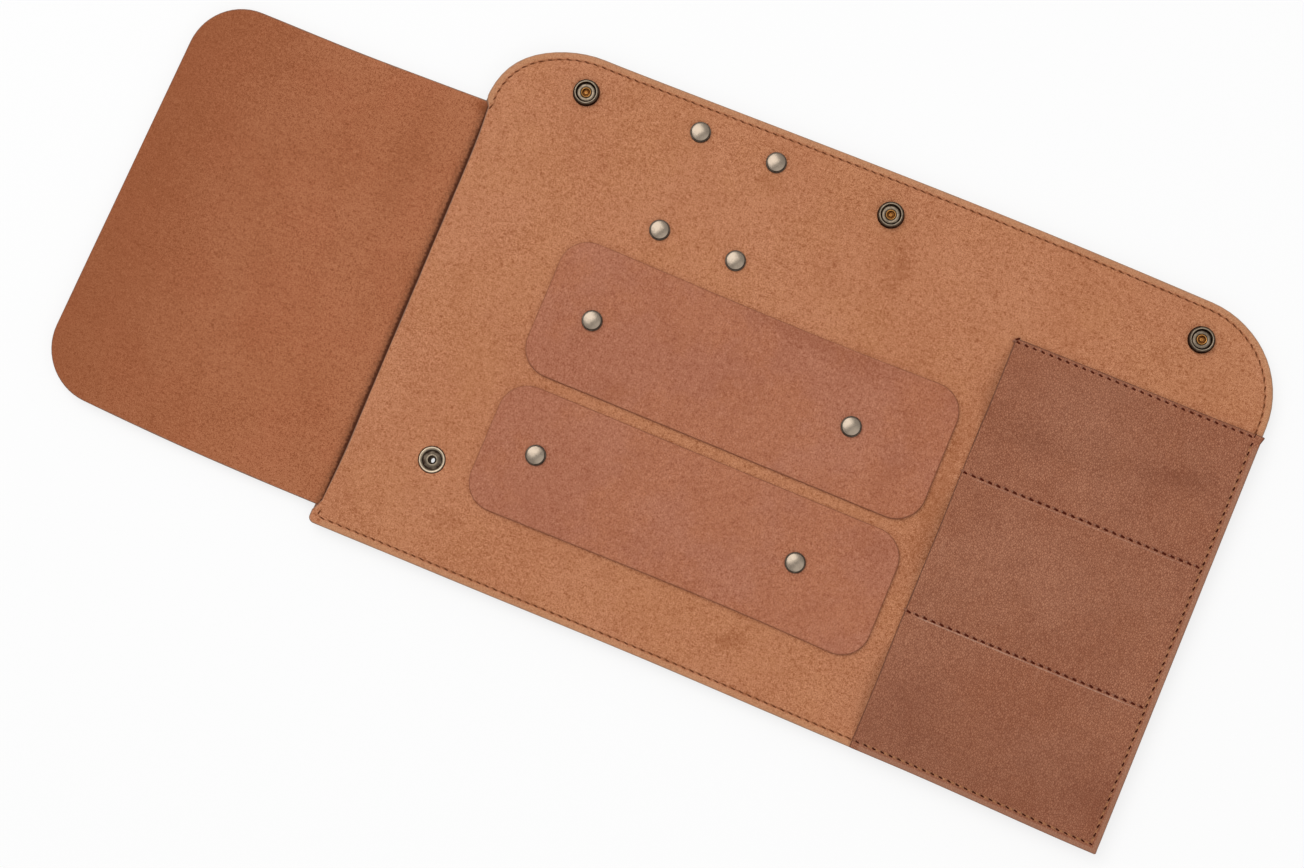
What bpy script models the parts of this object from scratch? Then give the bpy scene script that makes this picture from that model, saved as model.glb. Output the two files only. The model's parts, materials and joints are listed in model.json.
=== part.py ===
# A leather knife roll lying open with its inner side up.
# X runs along the long bottom edge, Y across the two folds and Z up.
# Places on the panel are measured from its bottom left corner, in metres,
# and the whole model is then centred over its own outline.

import bmesh
import bpy
from math import atan2, cos, pi, sin, tau
from mathutils import Matrix, Vector

# Clearance between pieces that touch on the real object
GAP = 0.0003

# Leather and thread
SHELL_THICK = 0.0018
LINING_THICK = 0.0014
PATCH_THICK = 0.0016
FLAP_THICK = 0.0017
STRAP_THICK = 0.0022
THREAD_WIDTH = 0.0009
THREAD_HEIGHT = 0.0005

# Main panel
PANEL_LENGTH = 0.400
PANEL_HEIGHT = 0.258
PANEL_TOP_RADIUS = 0.045
PANEL_LEFT_RADIUS = 0.003
PANEL_RIGHT_RADIUS = 0.001
LINING_SETBACK = 0.0025
STITCH_INSET = 0.0038

# Side flap, hinged along the left edge
FLAP_ROOT_LOW = 0.0087
FLAP_ROOT_HIGH = 0.2190
FLAP_TIP_LOW = 0.0127
FLAP_TIP_HIGH = 0.2155
FLAP_REACH_LOW = 0.1512
FLAP_REACH_HIGH = 0.1434
FLAP_RADIUS = 0.027
FLAP_AXIS_OFFSET = 0.003
FLAP_CLEARANCE = 0.0004

# Knife pockets along the right edge, open to the left
POCKET_DEPTH = 0.1237
LOWER_SEAM_RISE = 0.0107
UPPER_SEAM_DROP = 0.0156
POCKET_TOP_INSET = 0.0516
POCKET_RISE = 0.0046
POCKET_RAMP = 0.005
POCKET_SEAM_LAND = 0.0025
POCKET_EDGE_LAND = 0.006
POCKET_END_LAND = 0.009
POCKET_END_RAMP = 0.006

# Folds
LOWER_BEND = 0.005
UPPER_BEND = 0.008
FOLD_CLEARANCE = 0.0004

# Carry straps on the outer face and the rivets that hold them
STRAP_WIDTH = 0.016
STRAP_END = 0.010
LOWER_STRAP_MARGIN = 0.0005
UPPER_STRAP_MARGIN = 0.0030
LOWER_HANDLE_Y = 0.070
HANDLE_X = 0.0877
HANDLE_POCKET_CLEAR = 0.0559

# Reinforcing patches inside, one behind each strap
PATCH_LEFT = 0.0622
PATCH_POCKET_CLEAR = 0.0107
PATCH_BELOW = 0.033
PATCH_ABOVE = 0.0352
PATCH_SPLIT_GAP = 0.006
PATCH_SPLIT_DROP = 0.0015
PATCH_RADIUS = 0.0145

# Rivets
RIVET_CAP_RADIUS = 0.005
RIVET_CAP_HEIGHT = 0.0023
RIVET_CAP_EDGE = 0.0006
RIVET_POST_RADIUS = 0.0015
RIVET_BASE_RADIUS = 0.0045
RIVET_BASE_HEIGHT = 0.0022
RIVET_BASE_FLOOR = 0.0008
RIVET_CROWN_CHAMFER = 0.0008

# Plain badge plate on the outer face of the top third
BADGE_LEFT_X = 0.1006
BADGE_SPAN_X = 0.0391
BADGE_TOP_INSET = 0.0152
BADGE_PATCH_CLEAR = 0.0173
BADGE_MARGIN = 0.0115
BADGE_RADIUS = 0.006

# Snap fasteners
SNAP_LEFT_INSET = 0.0425
SNAP_RIGHT_INSET = 0.0433
SOCKET_TOP_INSET = 0.0181
SOCKET_RADIUS = 0.0065
SOCKET_HEIGHT = 0.003
SOCKET_RIM = 0.0012
SOCKET_RIM_DROP = 0.0008
SOCKET_FLOOR = 0.0006
SOCKET_POCKET_RADIUS = 0.0042
SOCKET_ENTRY_RADIUS = 0.0036
SOCKET_LIP = 0.0006
CAP_RADIUS = 0.0075
CAP_HEIGHT = 0.0019
CAP_EDGE = 0.0006
CAP_POST_RADIUS = 0.0021
CAP_ROLL_RADIUS = 0.0031
CAP_ROLL_THICK = 0.0003
CAP_BORE_RADIUS = 0.0012
CAP_BORE_DEPTH = 0.0012
EYELET_RADIUS = 0.00635
EYELET_FLANGE = 0.0012
EYELET_TUBE_RADIUS = 0.0020
EYELET_BORE_RADIUS = 0.0013
STUD_MARGIN = 0.0005
STUD_FLANGE = 0.0008
STUD_NECK_RADIUS = 0.0028
STUD_HEAD_RADIUS = 0.0031
STUD_TIP_RADIUS = 0.0024
STUD_FLOOR = 0.0012
STUD_HEAD_SHARE = 0.3

# Facets
ROUND_SIDES = 16
HOLE_SIDES = 12
CORNER_STEPS = 8
DOME_STEPS = 3

# Heights, from the plane that the roll rests on
STRAP_BOTTOM = RIVET_BASE_HEIGHT + GAP
STRAP_TOP = STRAP_BOTTOM + STRAP_THICK
SHELL_BOTTOM = STRAP_TOP + GAP
SHELL_TOP = SHELL_BOTTOM + SHELL_THICK
FLAP_TOP = SHELL_BOTTOM + FLAP_THICK
LINING_BOTTOM = SHELL_TOP + GAP
LINING_TOP = LINING_BOTTOM + LINING_THICK
PATCH_BOTTOM = LINING_TOP + GAP
PATCH_TOP = PATCH_BOTTOM + PATCH_THICK
HANDLE_CAP_BOTTOM = PATCH_TOP + GAP
HANDLE_CAP_TOP = HANDLE_CAP_BOTTOM + RIVET_CAP_HEIGHT
POCKET_TOP = PATCH_TOP + POCKET_RISE

# Fold lines and the axes that the panel and the flap turn about
LOWER_FOLD = LOWER_HANDLE_Y - STRAP_WIDTH / 2 - LOWER_STRAP_MARGIN - LOWER_BEND / 2
STUD_Y = LOWER_FOLD - LOWER_BEND / 2 - STUD_MARGIN - GAP / 2 - GAP - EYELET_RADIUS
SOCKET_Y = PANEL_HEIGHT - SOCKET_TOP_INSET
UPPER_FOLD = LOWER_FOLD + (SOCKET_Y - STUD_Y) / 2
UPPER_HANDLE_Y = UPPER_FOLD - UPPER_BEND / 2 - UPPER_STRAP_MARGIN - STRAP_WIDTH / 2
FLAP_AXIS_X = -FLAP_AXIS_OFFSET
FLAP_AXIS_Z = (HANDLE_CAP_TOP + FLAP_CLEARANCE + FLAP_TOP) / 2
FOLDED_FLAP_TOP = 2 * FLAP_AXIS_Z - SHELL_BOTTOM
CONTENTS_TOP = max(POCKET_TOP, FOLDED_FLAP_TOP)
LOWER_AXIS_Z = CONTENTS_TOP + FOLD_CLEARANCE
FOLDED_SHELL_TOP = 2 * LOWER_AXIS_Z - SHELL_BOTTOM
UPPER_AXIS_Z = (FOLDED_SHELL_TOP + CONTENTS_TOP + FOLD_CLEARANCE) / 2

# Bands of the panel between the fold lines
PAST_EDGE = PANEL_HEIGHT
BANDS = {
    "lower": (-PAST_EDGE, LOWER_FOLD - LOWER_BEND / 2 - GAP / 2),
    "lower_bend": (LOWER_FOLD - LOWER_BEND / 2 + GAP / 2, LOWER_FOLD + LOWER_BEND / 2 - GAP / 2),
    "middle": (LOWER_FOLD + LOWER_BEND / 2 + GAP / 2, UPPER_FOLD - UPPER_BEND / 2 - GAP / 2),
    "upper_bend": (UPPER_FOLD - UPPER_BEND / 2 + GAP / 2, UPPER_FOLD + UPPER_BEND / 2 - GAP / 2),
    "upper": (UPPER_FOLD + UPPER_BEND / 2 + GAP / 2, PANEL_HEIGHT + PAST_EDGE),
}

# Pocket lines
POCKET_MOUTH = PANEL_LENGTH - POCKET_DEPTH
LOWER_SEAM = LOWER_FOLD + LOWER_SEAM_RISE
UPPER_SEAM = UPPER_FOLD - UPPER_SEAM_DROP
POCKET_EDGE_Y = PANEL_HEIGHT - POCKET_TOP_INSET

# Patch lines
PATCH_RIGHT = POCKET_MOUTH - PATCH_POCKET_CLEAR
PATCH_SPLIT = (LOWER_HANDLE_Y + UPPER_HANDLE_Y) / 2 - PATCH_SPLIT_DROP
PATCH_ROWS = {
    "lower_patch": (LOWER_HANDLE_Y - PATCH_BELOW, PATCH_SPLIT - PATCH_SPLIT_GAP / 2),
    "upper_patch": (PATCH_SPLIT + PATCH_SPLIT_GAP / 2, UPPER_HANDLE_Y + PATCH_ABOVE),
}

# Fastener places
SNAP_RIGHT_X = PANEL_LENGTH - SNAP_RIGHT_INSET
SNAP_XS = (SNAP_LEFT_INSET, (SNAP_LEFT_INSET + SNAP_RIGHT_X) / 2, SNAP_RIGHT_X)
SOCKET_PLACES = [(x, SOCKET_Y) for x in SNAP_XS]
STUD_PLACES = [(x, STUD_Y) for x in SNAP_XS]
HANDLE_XS = (HANDLE_X, POCKET_MOUTH - HANDLE_POCKET_CLEAR)
HANDLE_PLACES = [(x, y) for y in (LOWER_HANDLE_Y, UPPER_HANDLE_Y) for x in HANDLE_XS]
BADGE_XS = (BADGE_LEFT_X, BADGE_LEFT_X + BADGE_SPAN_X)
BADGE_YS = (PATCH_ROWS["upper_patch"][1] + BADGE_PATCH_CLEAR, PANEL_HEIGHT - BADGE_TOP_INSET)
BADGE_PLACES = [(x, y) for y in BADGE_YS for x in BADGE_XS]

# Colours as red, green, blue
COLOURS = {
    "shell_leather": (0.36, 0.17, 0.09),
    "lining_leather": (0.50, 0.21, 0.11),
    "flap_leather": (0.39, 0.14, 0.065),
    "patch_leather": (0.41, 0.17, 0.09),
    "pocket_leather": (0.31, 0.11, 0.065),
    "strap_leather": (0.33, 0.13, 0.07),
    "thread": (0.06, 0.04, 0.03),
    "rivet_metal": (0.62, 0.55, 0.43),
    "snap_metal": (0.30, 0.25, 0.18),
}
METALS = ("rivet_metal", "snap_metal")


def clear_scene():
    for item in list(bpy.data.objects):
        bpy.data.objects.remove(item)


def material(name):
    found = bpy.data.materials.get(name)
    if found:
        return found
    made = bpy.data.materials.new(name)
    made.use_nodes = True
    shader = made.node_tree.nodes["Principled BSDF"]
    metal = name in METALS
    shader.inputs["Base Color"].default_value = (*COLOURS[name], 1)
    shader.inputs["Metallic"].default_value = 1 if metal else 0
    shader.inputs["Roughness"].default_value = 0.35 if metal else 0.8
    made.diffuse_color = (*COLOURS[name], 1)
    return made


def corner_arc(before, corner, after, radius):
    towards_before = (Vector(before) - Vector(corner)).normalized()
    towards_after = (Vector(after) - Vector(corner)).normalized()
    half_angle = towards_before.angle(towards_after) / 2
    inward = (towards_before + towards_after).normalized()
    centre = Vector(corner) + inward * radius / sin(half_angle)
    first = Vector(corner) + towards_before * radius * cos(half_angle) / sin(half_angle) - centre
    last = Vector(corner) + towards_after * radius * cos(half_angle) / sin(half_angle) - centre
    start = atan2(first.y, first.x)
    sweep = (atan2(last.y, last.x) - start + pi) % tau - pi
    angles = [start + sweep * step / CORNER_STEPS for step in range(CORNER_STEPS + 1)]
    return [(centre.x + radius * cos(angle), centre.y + radius * sin(angle)) for angle in angles]


def rounded_outline(corners):
    # Corners are (x, y, radius), anticlockwise; a radius of zero keeps the corner.
    points = []
    for index, (x, y, radius) in enumerate(corners):
        if radius == 0:
            points.append((x, y))
            continue
        before = corners[index - 1][:2]
        after = corners[(index + 1) % len(corners)][:2]
        points.extend(corner_arc(before, (x, y), after, radius))
    return points


def rectangle(left, low, right, high, radius):
    return rounded_outline([(left, low, radius), (right, low, radius),
                            (right, high, radius), (left, high, radius)])


def cross_at(first, second, level):
    share = (level - first[1]) / (second[1] - first[1])
    return (first[0] + (second[0] - first[0]) * share, level)


def clip_side(points, level, keep_above):
    kept = []
    for index, point in enumerate(points):
        previous = points[index - 1]
        inside = (point[1] >= level) == keep_above
        was_inside = (previous[1] >= level) == keep_above
        if inside != was_inside:
            kept.append(cross_at(previous, point, level))
        if inside:
            kept.append(point)
    return kept


def clip_to_band(points, band):
    low, high = BANDS[band]
    return clip_side(clip_side(points, low, True), high, False)


def strip_outline(run, width):
    lefts = []
    rights = []
    for index, point in enumerate(run):
        before = Vector(run[max(index - 1, 0)])
        after = Vector(run[min(index + 1, len(run) - 1)])
        ahead = (after - before).normalized()
        side = Vector((-ahead.y, ahead.x)) * width / 2
        lefts.append((point[0] + side.x, point[1] + side.y))
        rights.append((point[0] - side.x, point[1] - side.y))
    return rights + lefts[::-1]


def circle(place, radius):
    return [(place[0] + radius * cos(tau * step / HOLE_SIDES),
             place[1] + radius * sin(tau * step / HOLE_SIDES)) for step in range(HOLE_SIDES)]


def add_plate(bm, outline, low, high, holes=()):
    fresh = bmesh.new()
    for loop in [outline, *holes]:
        corners = [fresh.verts.new((x, y, low)) for x, y in loop]
        for index, corner in enumerate(corners):
            fresh.edges.new((corners[index - 1], corner))
    bmesh.ops.triangle_fill(fresh, use_beauty=True, use_dissolve=False, edges=fresh.edges[:])
    raised = bmesh.ops.extrude_face_region(fresh, geom=fresh.faces[:])
    tops = [item for item in raised["geom"] if isinstance(item, bmesh.types.BMVert)]
    bmesh.ops.translate(fresh, verts=tops, vec=(0, 0, high - low))
    bmesh.ops.recalc_face_normals(fresh, faces=fresh.faces[:])
    join(bm, fresh)


def join(bm, fresh):
    mesh = bpy.data.meshes.new("joined")
    fresh.to_mesh(mesh)
    fresh.free()
    bm.from_mesh(mesh)
    bpy.data.meshes.remove(mesh)


def add_turned(bm, place, profile):
    # The profile is a closed loop of (radius, height) points, or runs from the axis to the axis.
    fresh = bmesh.new()
    rings = []
    for radius, height in profile:
        if radius == 0:
            rings.append([fresh.verts.new((place[0], place[1], height))])
            continue
        angles = [tau * step / ROUND_SIDES for step in range(ROUND_SIDES)]
        rings.append([fresh.verts.new((place[0] + radius * cos(angle),
                                       place[1] + radius * sin(angle), height)) for angle in angles])
    pairs = list(zip(rings, rings[1:]))
    if profile[0][0] > 0:
        pairs.append((rings[-1], rings[0]))
    for first, second in pairs:
        for step in range(ROUND_SIDES):
            corners = [first[step % len(first)], first[(step + 1) % len(first)],
                       second[(step + 1) % len(second)], second[step % len(second)]]
            distinct = list(dict.fromkeys(corners))
            if len(distinct) > 2:
                fresh.faces.new(distinct)
    bmesh.ops.recalc_face_normals(fresh, faces=fresh.faces[:])
    join(bm, fresh)


def flap_outline():
    return rounded_outline([(-GAP, FLAP_ROOT_LOW, 0), (-GAP, FLAP_ROOT_HIGH, 0),
                            (-FLAP_REACH_HIGH, FLAP_TIP_HIGH, FLAP_RADIUS),
                            (-FLAP_REACH_LOW, FLAP_TIP_LOW, FLAP_RADIUS)])


def panel_corners():
    return [(0, 0, PANEL_LEFT_RADIUS), (PANEL_LENGTH, 0, PANEL_RIGHT_RADIUS),
            (PANEL_LENGTH, PANEL_HEIGHT, PANEL_TOP_RADIUS), (0, PANEL_HEIGHT, PANEL_TOP_RADIUS)]


def lining_outline():
    # The lining's left edge stands back along the flap, which lies under it.
    kept = [(x, y) for x, y in rounded_outline(panel_corners())
            if x > LINING_SETBACK or not FLAP_ROOT_LOW < y < FLAP_ROOT_HIGH]
    return kept + [(LINING_SETBACK, FLAP_ROOT_HIGH - LINING_SETBACK),
                   (LINING_SETBACK, FLAP_ROOT_LOW + LINING_SETBACK), (0, FLAP_ROOT_LOW)]


OUTLINE_LEFT = min(x for x, y in flap_outline())
CENTRE = Vector(((OUTLINE_LEFT + PANEL_LENGTH) / 2, PANEL_HEIGHT / 2, 0))


def add_axis(name, place, parent=None):
    axis = bpy.data.objects.new(name, None)
    bpy.context.scene.collection.objects.link(axis)
    axis.empty_display_size = STRAP_WIDTH
    spot = Vector(place) - CENTRE
    axis.location = spot - (parent["place"] if parent else Vector())
    axis.parent = parent["axis"] if parent else None
    return {"axis": axis, "place": spot}


def finish_piece(name, bm, colour, carrier=None):
    # Mesh points are panel places; the piece hangs from its body's axis.
    shift = -CENTRE - (carrier["place"] if carrier else Vector())
    bmesh.ops.transform(bm, matrix=Matrix.Translation(shift), verts=bm.verts[:])
    mesh = bpy.data.meshes.new(name)
    bm.to_mesh(mesh)
    bm.free()
    mesh.materials.append(material(colour))
    piece = bpy.data.objects.new(name, mesh)
    bpy.context.scene.collection.objects.link(piece)
    piece.parent = carrier["axis"] if carrier else None
    return piece


def smooth_round(piece):
    piece.data.shade_smooth()
    piece.data.set_sharp_from_angle(angle=pi / 5)


def holes_for(places, radius, band):
    low, high = BANDS[band]
    return [circle(place, radius) for place in places if low < place[1] < high]


def make_sheets(axes):
    rivet_hole = RIVET_POST_RADIUS + GAP
    post_hole = CAP_POST_RADIUS + GAP
    for band in BANDS:
        rivets = holes_for(HANDLE_PLACES + BADGE_PLACES, rivet_hole, band)
        posts = holes_for(SOCKET_PLACES, post_hole, band)
        tubes = holes_for(STUD_PLACES, EYELET_TUBE_RADIUS + GAP, band)
        flanges = holes_for(STUD_PLACES, EYELET_RADIUS + GAP, band)
        bm = bmesh.new()
        outline = clip_to_band(rounded_outline(panel_corners()), band)
        add_plate(bm, outline, SHELL_BOTTOM, SHELL_TOP, rivets + posts + tubes)
        finish_piece("shell_" + band, bm, "shell_leather", axes[band])
        bm = bmesh.new()
        outline = clip_to_band(lining_outline(), band)
        add_plate(bm, outline, LINING_BOTTOM, LINING_TOP, rivets + posts + flanges)
        finish_piece("lining_" + band, bm, "lining_leather", axes[band])
        bm = bmesh.new()
        add_plate(bm, clip_to_band(flap_outline(), band), SHELL_BOTTOM, FLAP_TOP)
        finish_piece("flap_" + band, bm, "flap_leather", axes["flap_" + band])


def make_patches(axes):
    bands_of = {
        "lower_patch": ("lower", "lower_bend", "middle"),
        "upper_patch": ("middle", "upper_bend", "upper"),
    }
    for name, (low, high) in PATCH_ROWS.items():
        places = [place for place in HANDLE_PLACES if low < place[1] < high]
        for band in bands_of[name]:
            bm = bmesh.new()
            holes = holes_for(places, RIVET_POST_RADIUS + GAP, band)
            outline = clip_to_band(rectangle(PATCH_LEFT, low, PATCH_RIGHT, high, PATCH_RADIUS), band)
            add_plate(bm, outline, PATCH_BOTTOM, PATCH_TOP, holes)
            finish_piece(name + "_" + band, bm, "patch_leather", axes[band])


def pocket_rows(band):
    # Heights across one band, as (y, height share) from low to high.
    low = max(BANDS[band][0], 0)
    high = min(BANDS[band][1], POCKET_EDGE_Y)
    arches = {
        "lower": (POCKET_EDGE_LAND, high - POCKET_SEAM_LAND),
        "middle": (LOWER_SEAM + POCKET_SEAM_LAND, UPPER_SEAM - POCKET_SEAM_LAND),
        "upper": (low + POCKET_SEAM_LAND, POCKET_EDGE_Y - POCKET_EDGE_LAND),
    }
    rows = [(low, 0)]
    if band in arches:
        start, end = arches[band]
        rows += [(start, 0), (start + POCKET_RAMP, 1), (end - POCKET_RAMP, 1), (end, 0)]
    return rows + [(high, 0)]


def make_pockets(axes):
    end_low = PANEL_LENGTH - POCKET_END_LAND
    columns = [(POCKET_MOUTH, 1), (end_low - POCKET_END_RAMP, 1), (end_low, 0), (PANEL_LENGTH, 0)]
    for band in BANDS:
        bm = bmesh.new()
        rows = pocket_rows(band)
        layers = []
        for level in (PATCH_BOTTOM, PATCH_TOP):
            layers.append([[bm.verts.new((x, y, level + POCKET_RISE * across * along))
                            for y, across in rows] for x, along in columns])
        fill_between(bm, *layers)
        bmesh.ops.recalc_face_normals(bm, faces=bm.faces[:])
        finish_piece("pocket_" + band, bm, "pocket_leather", axes[band])


def fill_between(bm, under, over):
    for grid in (under, over):
        for left, right in zip(grid, grid[1:]):
            for index in range(len(left) - 1):
                bm.faces.new((left[index], right[index], right[index + 1], left[index + 1]))
    rim_under = rim_of(under)
    rim_over = rim_of(over)
    for index in range(len(rim_under)):
        bm.faces.new((rim_under[index - 1], rim_under[index], rim_over[index], rim_over[index - 1]))


def rim_of(grid):
    bottom = [column[0] for column in grid]
    top = [column[-1] for column in grid]
    return bottom + grid[-1][1:-1] + top[::-1] + grid[0][-2:0:-1]


def make_stitching(axes):
    right_x = PANEL_LENGTH - STITCH_INSET
    top_y = PANEL_HEIGHT - STITCH_INSET
    radius = PANEL_TOP_RADIUS - STITCH_INSET
    left_end = (STITCH_INSET, BANDS["upper"][0])
    right_end = (right_x, POCKET_EDGE_Y + THREAD_WIDTH)
    top_left = corner_arc((right_x, top_y), (STITCH_INSET, top_y), left_end, radius)
    top_right = corner_arc(right_end, (right_x, top_y), (STITCH_INSET, top_y), radius)
    top_row = [left_end, *top_left[::-1], *top_right[::-1], right_end]
    bm = bmesh.new()
    add_plate(bm, strip_outline(top_row, THREAD_WIDTH), PATCH_BOTTOM, PATCH_BOTTOM + THREAD_HEIGHT)
    finish_piece("top_stitching", bm, "thread", axes["upper"])
    bottom = PATCH_TOP + GAP
    seam_end = right_x - THREAD_WIDTH
    for name, seam in (("lower_pocket_seam", LOWER_SEAM), ("upper_pocket_seam", UPPER_SEAM)):
        bm = bmesh.new()
        outline = strip_outline([(POCKET_MOUTH, seam), (seam_end, seam)], THREAD_WIDTH)
        add_plate(bm, outline, bottom, bottom + THREAD_HEIGHT)
        finish_piece(name, bm, "thread")


def make_straps():
    for name, handle_y in (("lower_strap", LOWER_HANDLE_Y), ("upper_strap", UPPER_HANDLE_Y)):
        bm = bmesh.new()
        outline = rectangle(HANDLE_XS[0] - STRAP_END, handle_y - STRAP_WIDTH / 2,
                            HANDLE_XS[1] + STRAP_END, handle_y + STRAP_WIDTH / 2, STRAP_WIDTH / 4)
        places = [place for place in HANDLE_PLACES if place[1] == handle_y]
        holes = [circle(place, RIVET_POST_RADIUS + GAP) for place in places]
        add_plate(bm, outline, STRAP_BOTTOM, STRAP_TOP, holes)
        finish_piece(name, bm, "strap_leather")


def make_badge(axes):
    bm = bmesh.new()
    outline = rectangle(BADGE_XS[0] - BADGE_MARGIN, BADGE_YS[0] - BADGE_MARGIN,
                        BADGE_XS[1] + BADGE_MARGIN, BADGE_YS[1] + BADGE_MARGIN, BADGE_RADIUS)
    holes = [circle(place, RIVET_POST_RADIUS + GAP) for place in BADGE_PLACES]
    add_plate(bm, outline, STRAP_BOTTOM, STRAP_TOP, holes)
    finish_piece("badge_plate", bm, "strap_leather", axes["upper"])


def dome(radius, edge, crown, seat):
    # Points from the rim's upper edge to the crown, for a cap seated at the given height.
    angles = [pi / 2 * step / DOME_STEPS for step in range(DOME_STEPS + 1)]
    points = [(radius * cos(angle), seat + edge + (crown - edge) * sin(angle)) for angle in angles[:-1]]
    return points + [(0, seat + crown)]


def rivet_cap_profile(seat):
    post_end = RIVET_BASE_FLOOR + GAP
    return [(0, post_end), (RIVET_POST_RADIUS, post_end), (RIVET_POST_RADIUS, seat),
            (RIVET_CAP_RADIUS, seat), *dome(RIVET_CAP_RADIUS, RIVET_CAP_EDGE, RIVET_CAP_HEIGHT, seat)]


def rivet_base_profile():
    bore = RIVET_POST_RADIUS + GAP
    return [(0, 0), (RIVET_BASE_RADIUS - RIVET_CROWN_CHAMFER, 0), (RIVET_BASE_RADIUS, RIVET_CROWN_CHAMFER),
            (RIVET_BASE_RADIUS, RIVET_BASE_HEIGHT), (bore, RIVET_BASE_HEIGHT),
            (bore, RIVET_BASE_FLOOR), (0, RIVET_BASE_FLOOR)]


def make_turned(name, places, profile, colour, carrier=None):
    for number, place in enumerate(places, 1):
        bm = bmesh.new()
        add_turned(bm, place, profile)
        smooth_round(finish_piece(name + "_" + str(number), bm, colour, carrier))


def socket_profile():
    seat = PATCH_BOTTOM
    top = seat + SOCKET_HEIGHT
    floor = seat + SOCKET_FLOOR
    post = CAP_POST_RADIUS + GAP
    return [(post, seat), (SOCKET_RADIUS, seat), (SOCKET_RADIUS, top - SOCKET_RIM_DROP),
            (SOCKET_RADIUS - SOCKET_RIM / 2, top), (SOCKET_ENTRY_RADIUS + SOCKET_RIM / 2, top),
            (SOCKET_ENTRY_RADIUS, top - SOCKET_LIP / 2), (SOCKET_ENTRY_RADIUS, top - SOCKET_LIP),
            (SOCKET_POCKET_RADIUS, top - SOCKET_LIP - GAP), (SOCKET_POCKET_RADIUS, floor), (post, floor)]


def cap_profile():
    # An outer cap under the shell, whose post is rolled over the socket's floor.
    seat = SHELL_BOTTOM - GAP
    roll = PATCH_BOTTOM + SOCKET_FLOOR + GAP
    top = roll + CAP_ROLL_THICK
    outside = [(radius, seat - (height - seat)) for radius, height in dome(CAP_RADIUS, CAP_EDGE, CAP_HEIGHT, seat)]
    return outside[::-1] + [(CAP_RADIUS, seat), (CAP_POST_RADIUS, seat), (CAP_POST_RADIUS, roll),
                            (CAP_ROLL_RADIUS, roll), (CAP_ROLL_RADIUS, top), (CAP_BORE_RADIUS, top),
                            (CAP_BORE_RADIUS, top - CAP_BORE_DEPTH), (0, top - CAP_BORE_DEPTH)]


def eyelet_profile():
    top = LINING_BOTTOM + EYELET_FLANGE
    end = STUD_FLOOR + GAP
    return [(EYELET_BORE_RADIUS, end), (EYELET_TUBE_RADIUS, end), (EYELET_TUBE_RADIUS, LINING_BOTTOM),
            (EYELET_RADIUS, LINING_BOTTOM), (EYELET_RADIUS, top), (EYELET_BORE_RADIUS, top)]


def stud_profile():
    seat = SHELL_BOTTOM - GAP
    neck = seat - STUD_FLANGE
    head = neck * STUD_HEAD_SHARE
    bore = EYELET_TUBE_RADIUS + GAP
    return [(EYELET_BORE_RADIUS, 0), (STUD_TIP_RADIUS, 0), (STUD_HEAD_RADIUS, head),
            (STUD_NECK_RADIUS, head * 2), (STUD_NECK_RADIUS, neck), (EYELET_RADIUS, neck),
            (EYELET_RADIUS, seat), (bore, seat), (bore, STUD_FLOOR), (EYELET_BORE_RADIUS, STUD_FLOOR)]


def make_fasteners(axes):
    upper = axes["upper"]
    lower = axes["lower"]
    make_turned("handle_rivet_cap", HANDLE_PLACES, rivet_cap_profile(HANDLE_CAP_BOTTOM), "rivet_metal")
    make_turned("handle_rivet_base", HANDLE_PLACES, rivet_base_profile(), "rivet_metal")
    make_turned("badge_rivet_cap", BADGE_PLACES, rivet_cap_profile(PATCH_BOTTOM), "rivet_metal", upper)
    make_turned("badge_rivet_base", BADGE_PLACES, rivet_base_profile(), "rivet_metal", upper)
    make_turned("snap_socket", SOCKET_PLACES, socket_profile(), "snap_metal", upper)
    make_turned("snap_cap", SOCKET_PLACES, cap_profile(), "snap_metal", upper)
    make_turned("stud_eyelet", STUD_PLACES, eyelet_profile(), "snap_metal", lower)
    make_turned("snap_stud", STUD_PLACES, stud_profile(), "snap_metal", lower)


def make_axes():
    lower_place = (CENTRE.x, LOWER_FOLD, LOWER_AXIS_Z)
    upper_place = (CENTRE.x, UPPER_FOLD, UPPER_AXIS_Z)
    axes = {"middle": None}
    for band in ("lower", "lower_bend"):
        axes[band] = add_axis(band + "_axis", lower_place)
    for band in ("upper", "upper_bend"):
        axes[band] = add_axis(band + "_axis", upper_place)
    for band in BANDS:
        place = (FLAP_AXIS_X, CENTRE.y, FLAP_AXIS_Z)
        axes["flap_" + band] = add_axis("flap_" + band + "_axis", place, axes[band])
    return axes


def main():
    clear_scene()
    axes = make_axes()
    make_sheets(axes)
    make_patches(axes)
    make_pockets(axes)
    make_stitching(axes)
    make_straps()
    make_badge(axes)
    make_fasteners(axes)


main()
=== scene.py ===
import json
from math import cos, pi, radians, sin, tau

import bmesh
import bpy
import numpy as np
from mathutils import Matrix, Vector
from mathutils.geometry import delaunay_2d_cdt

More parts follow.
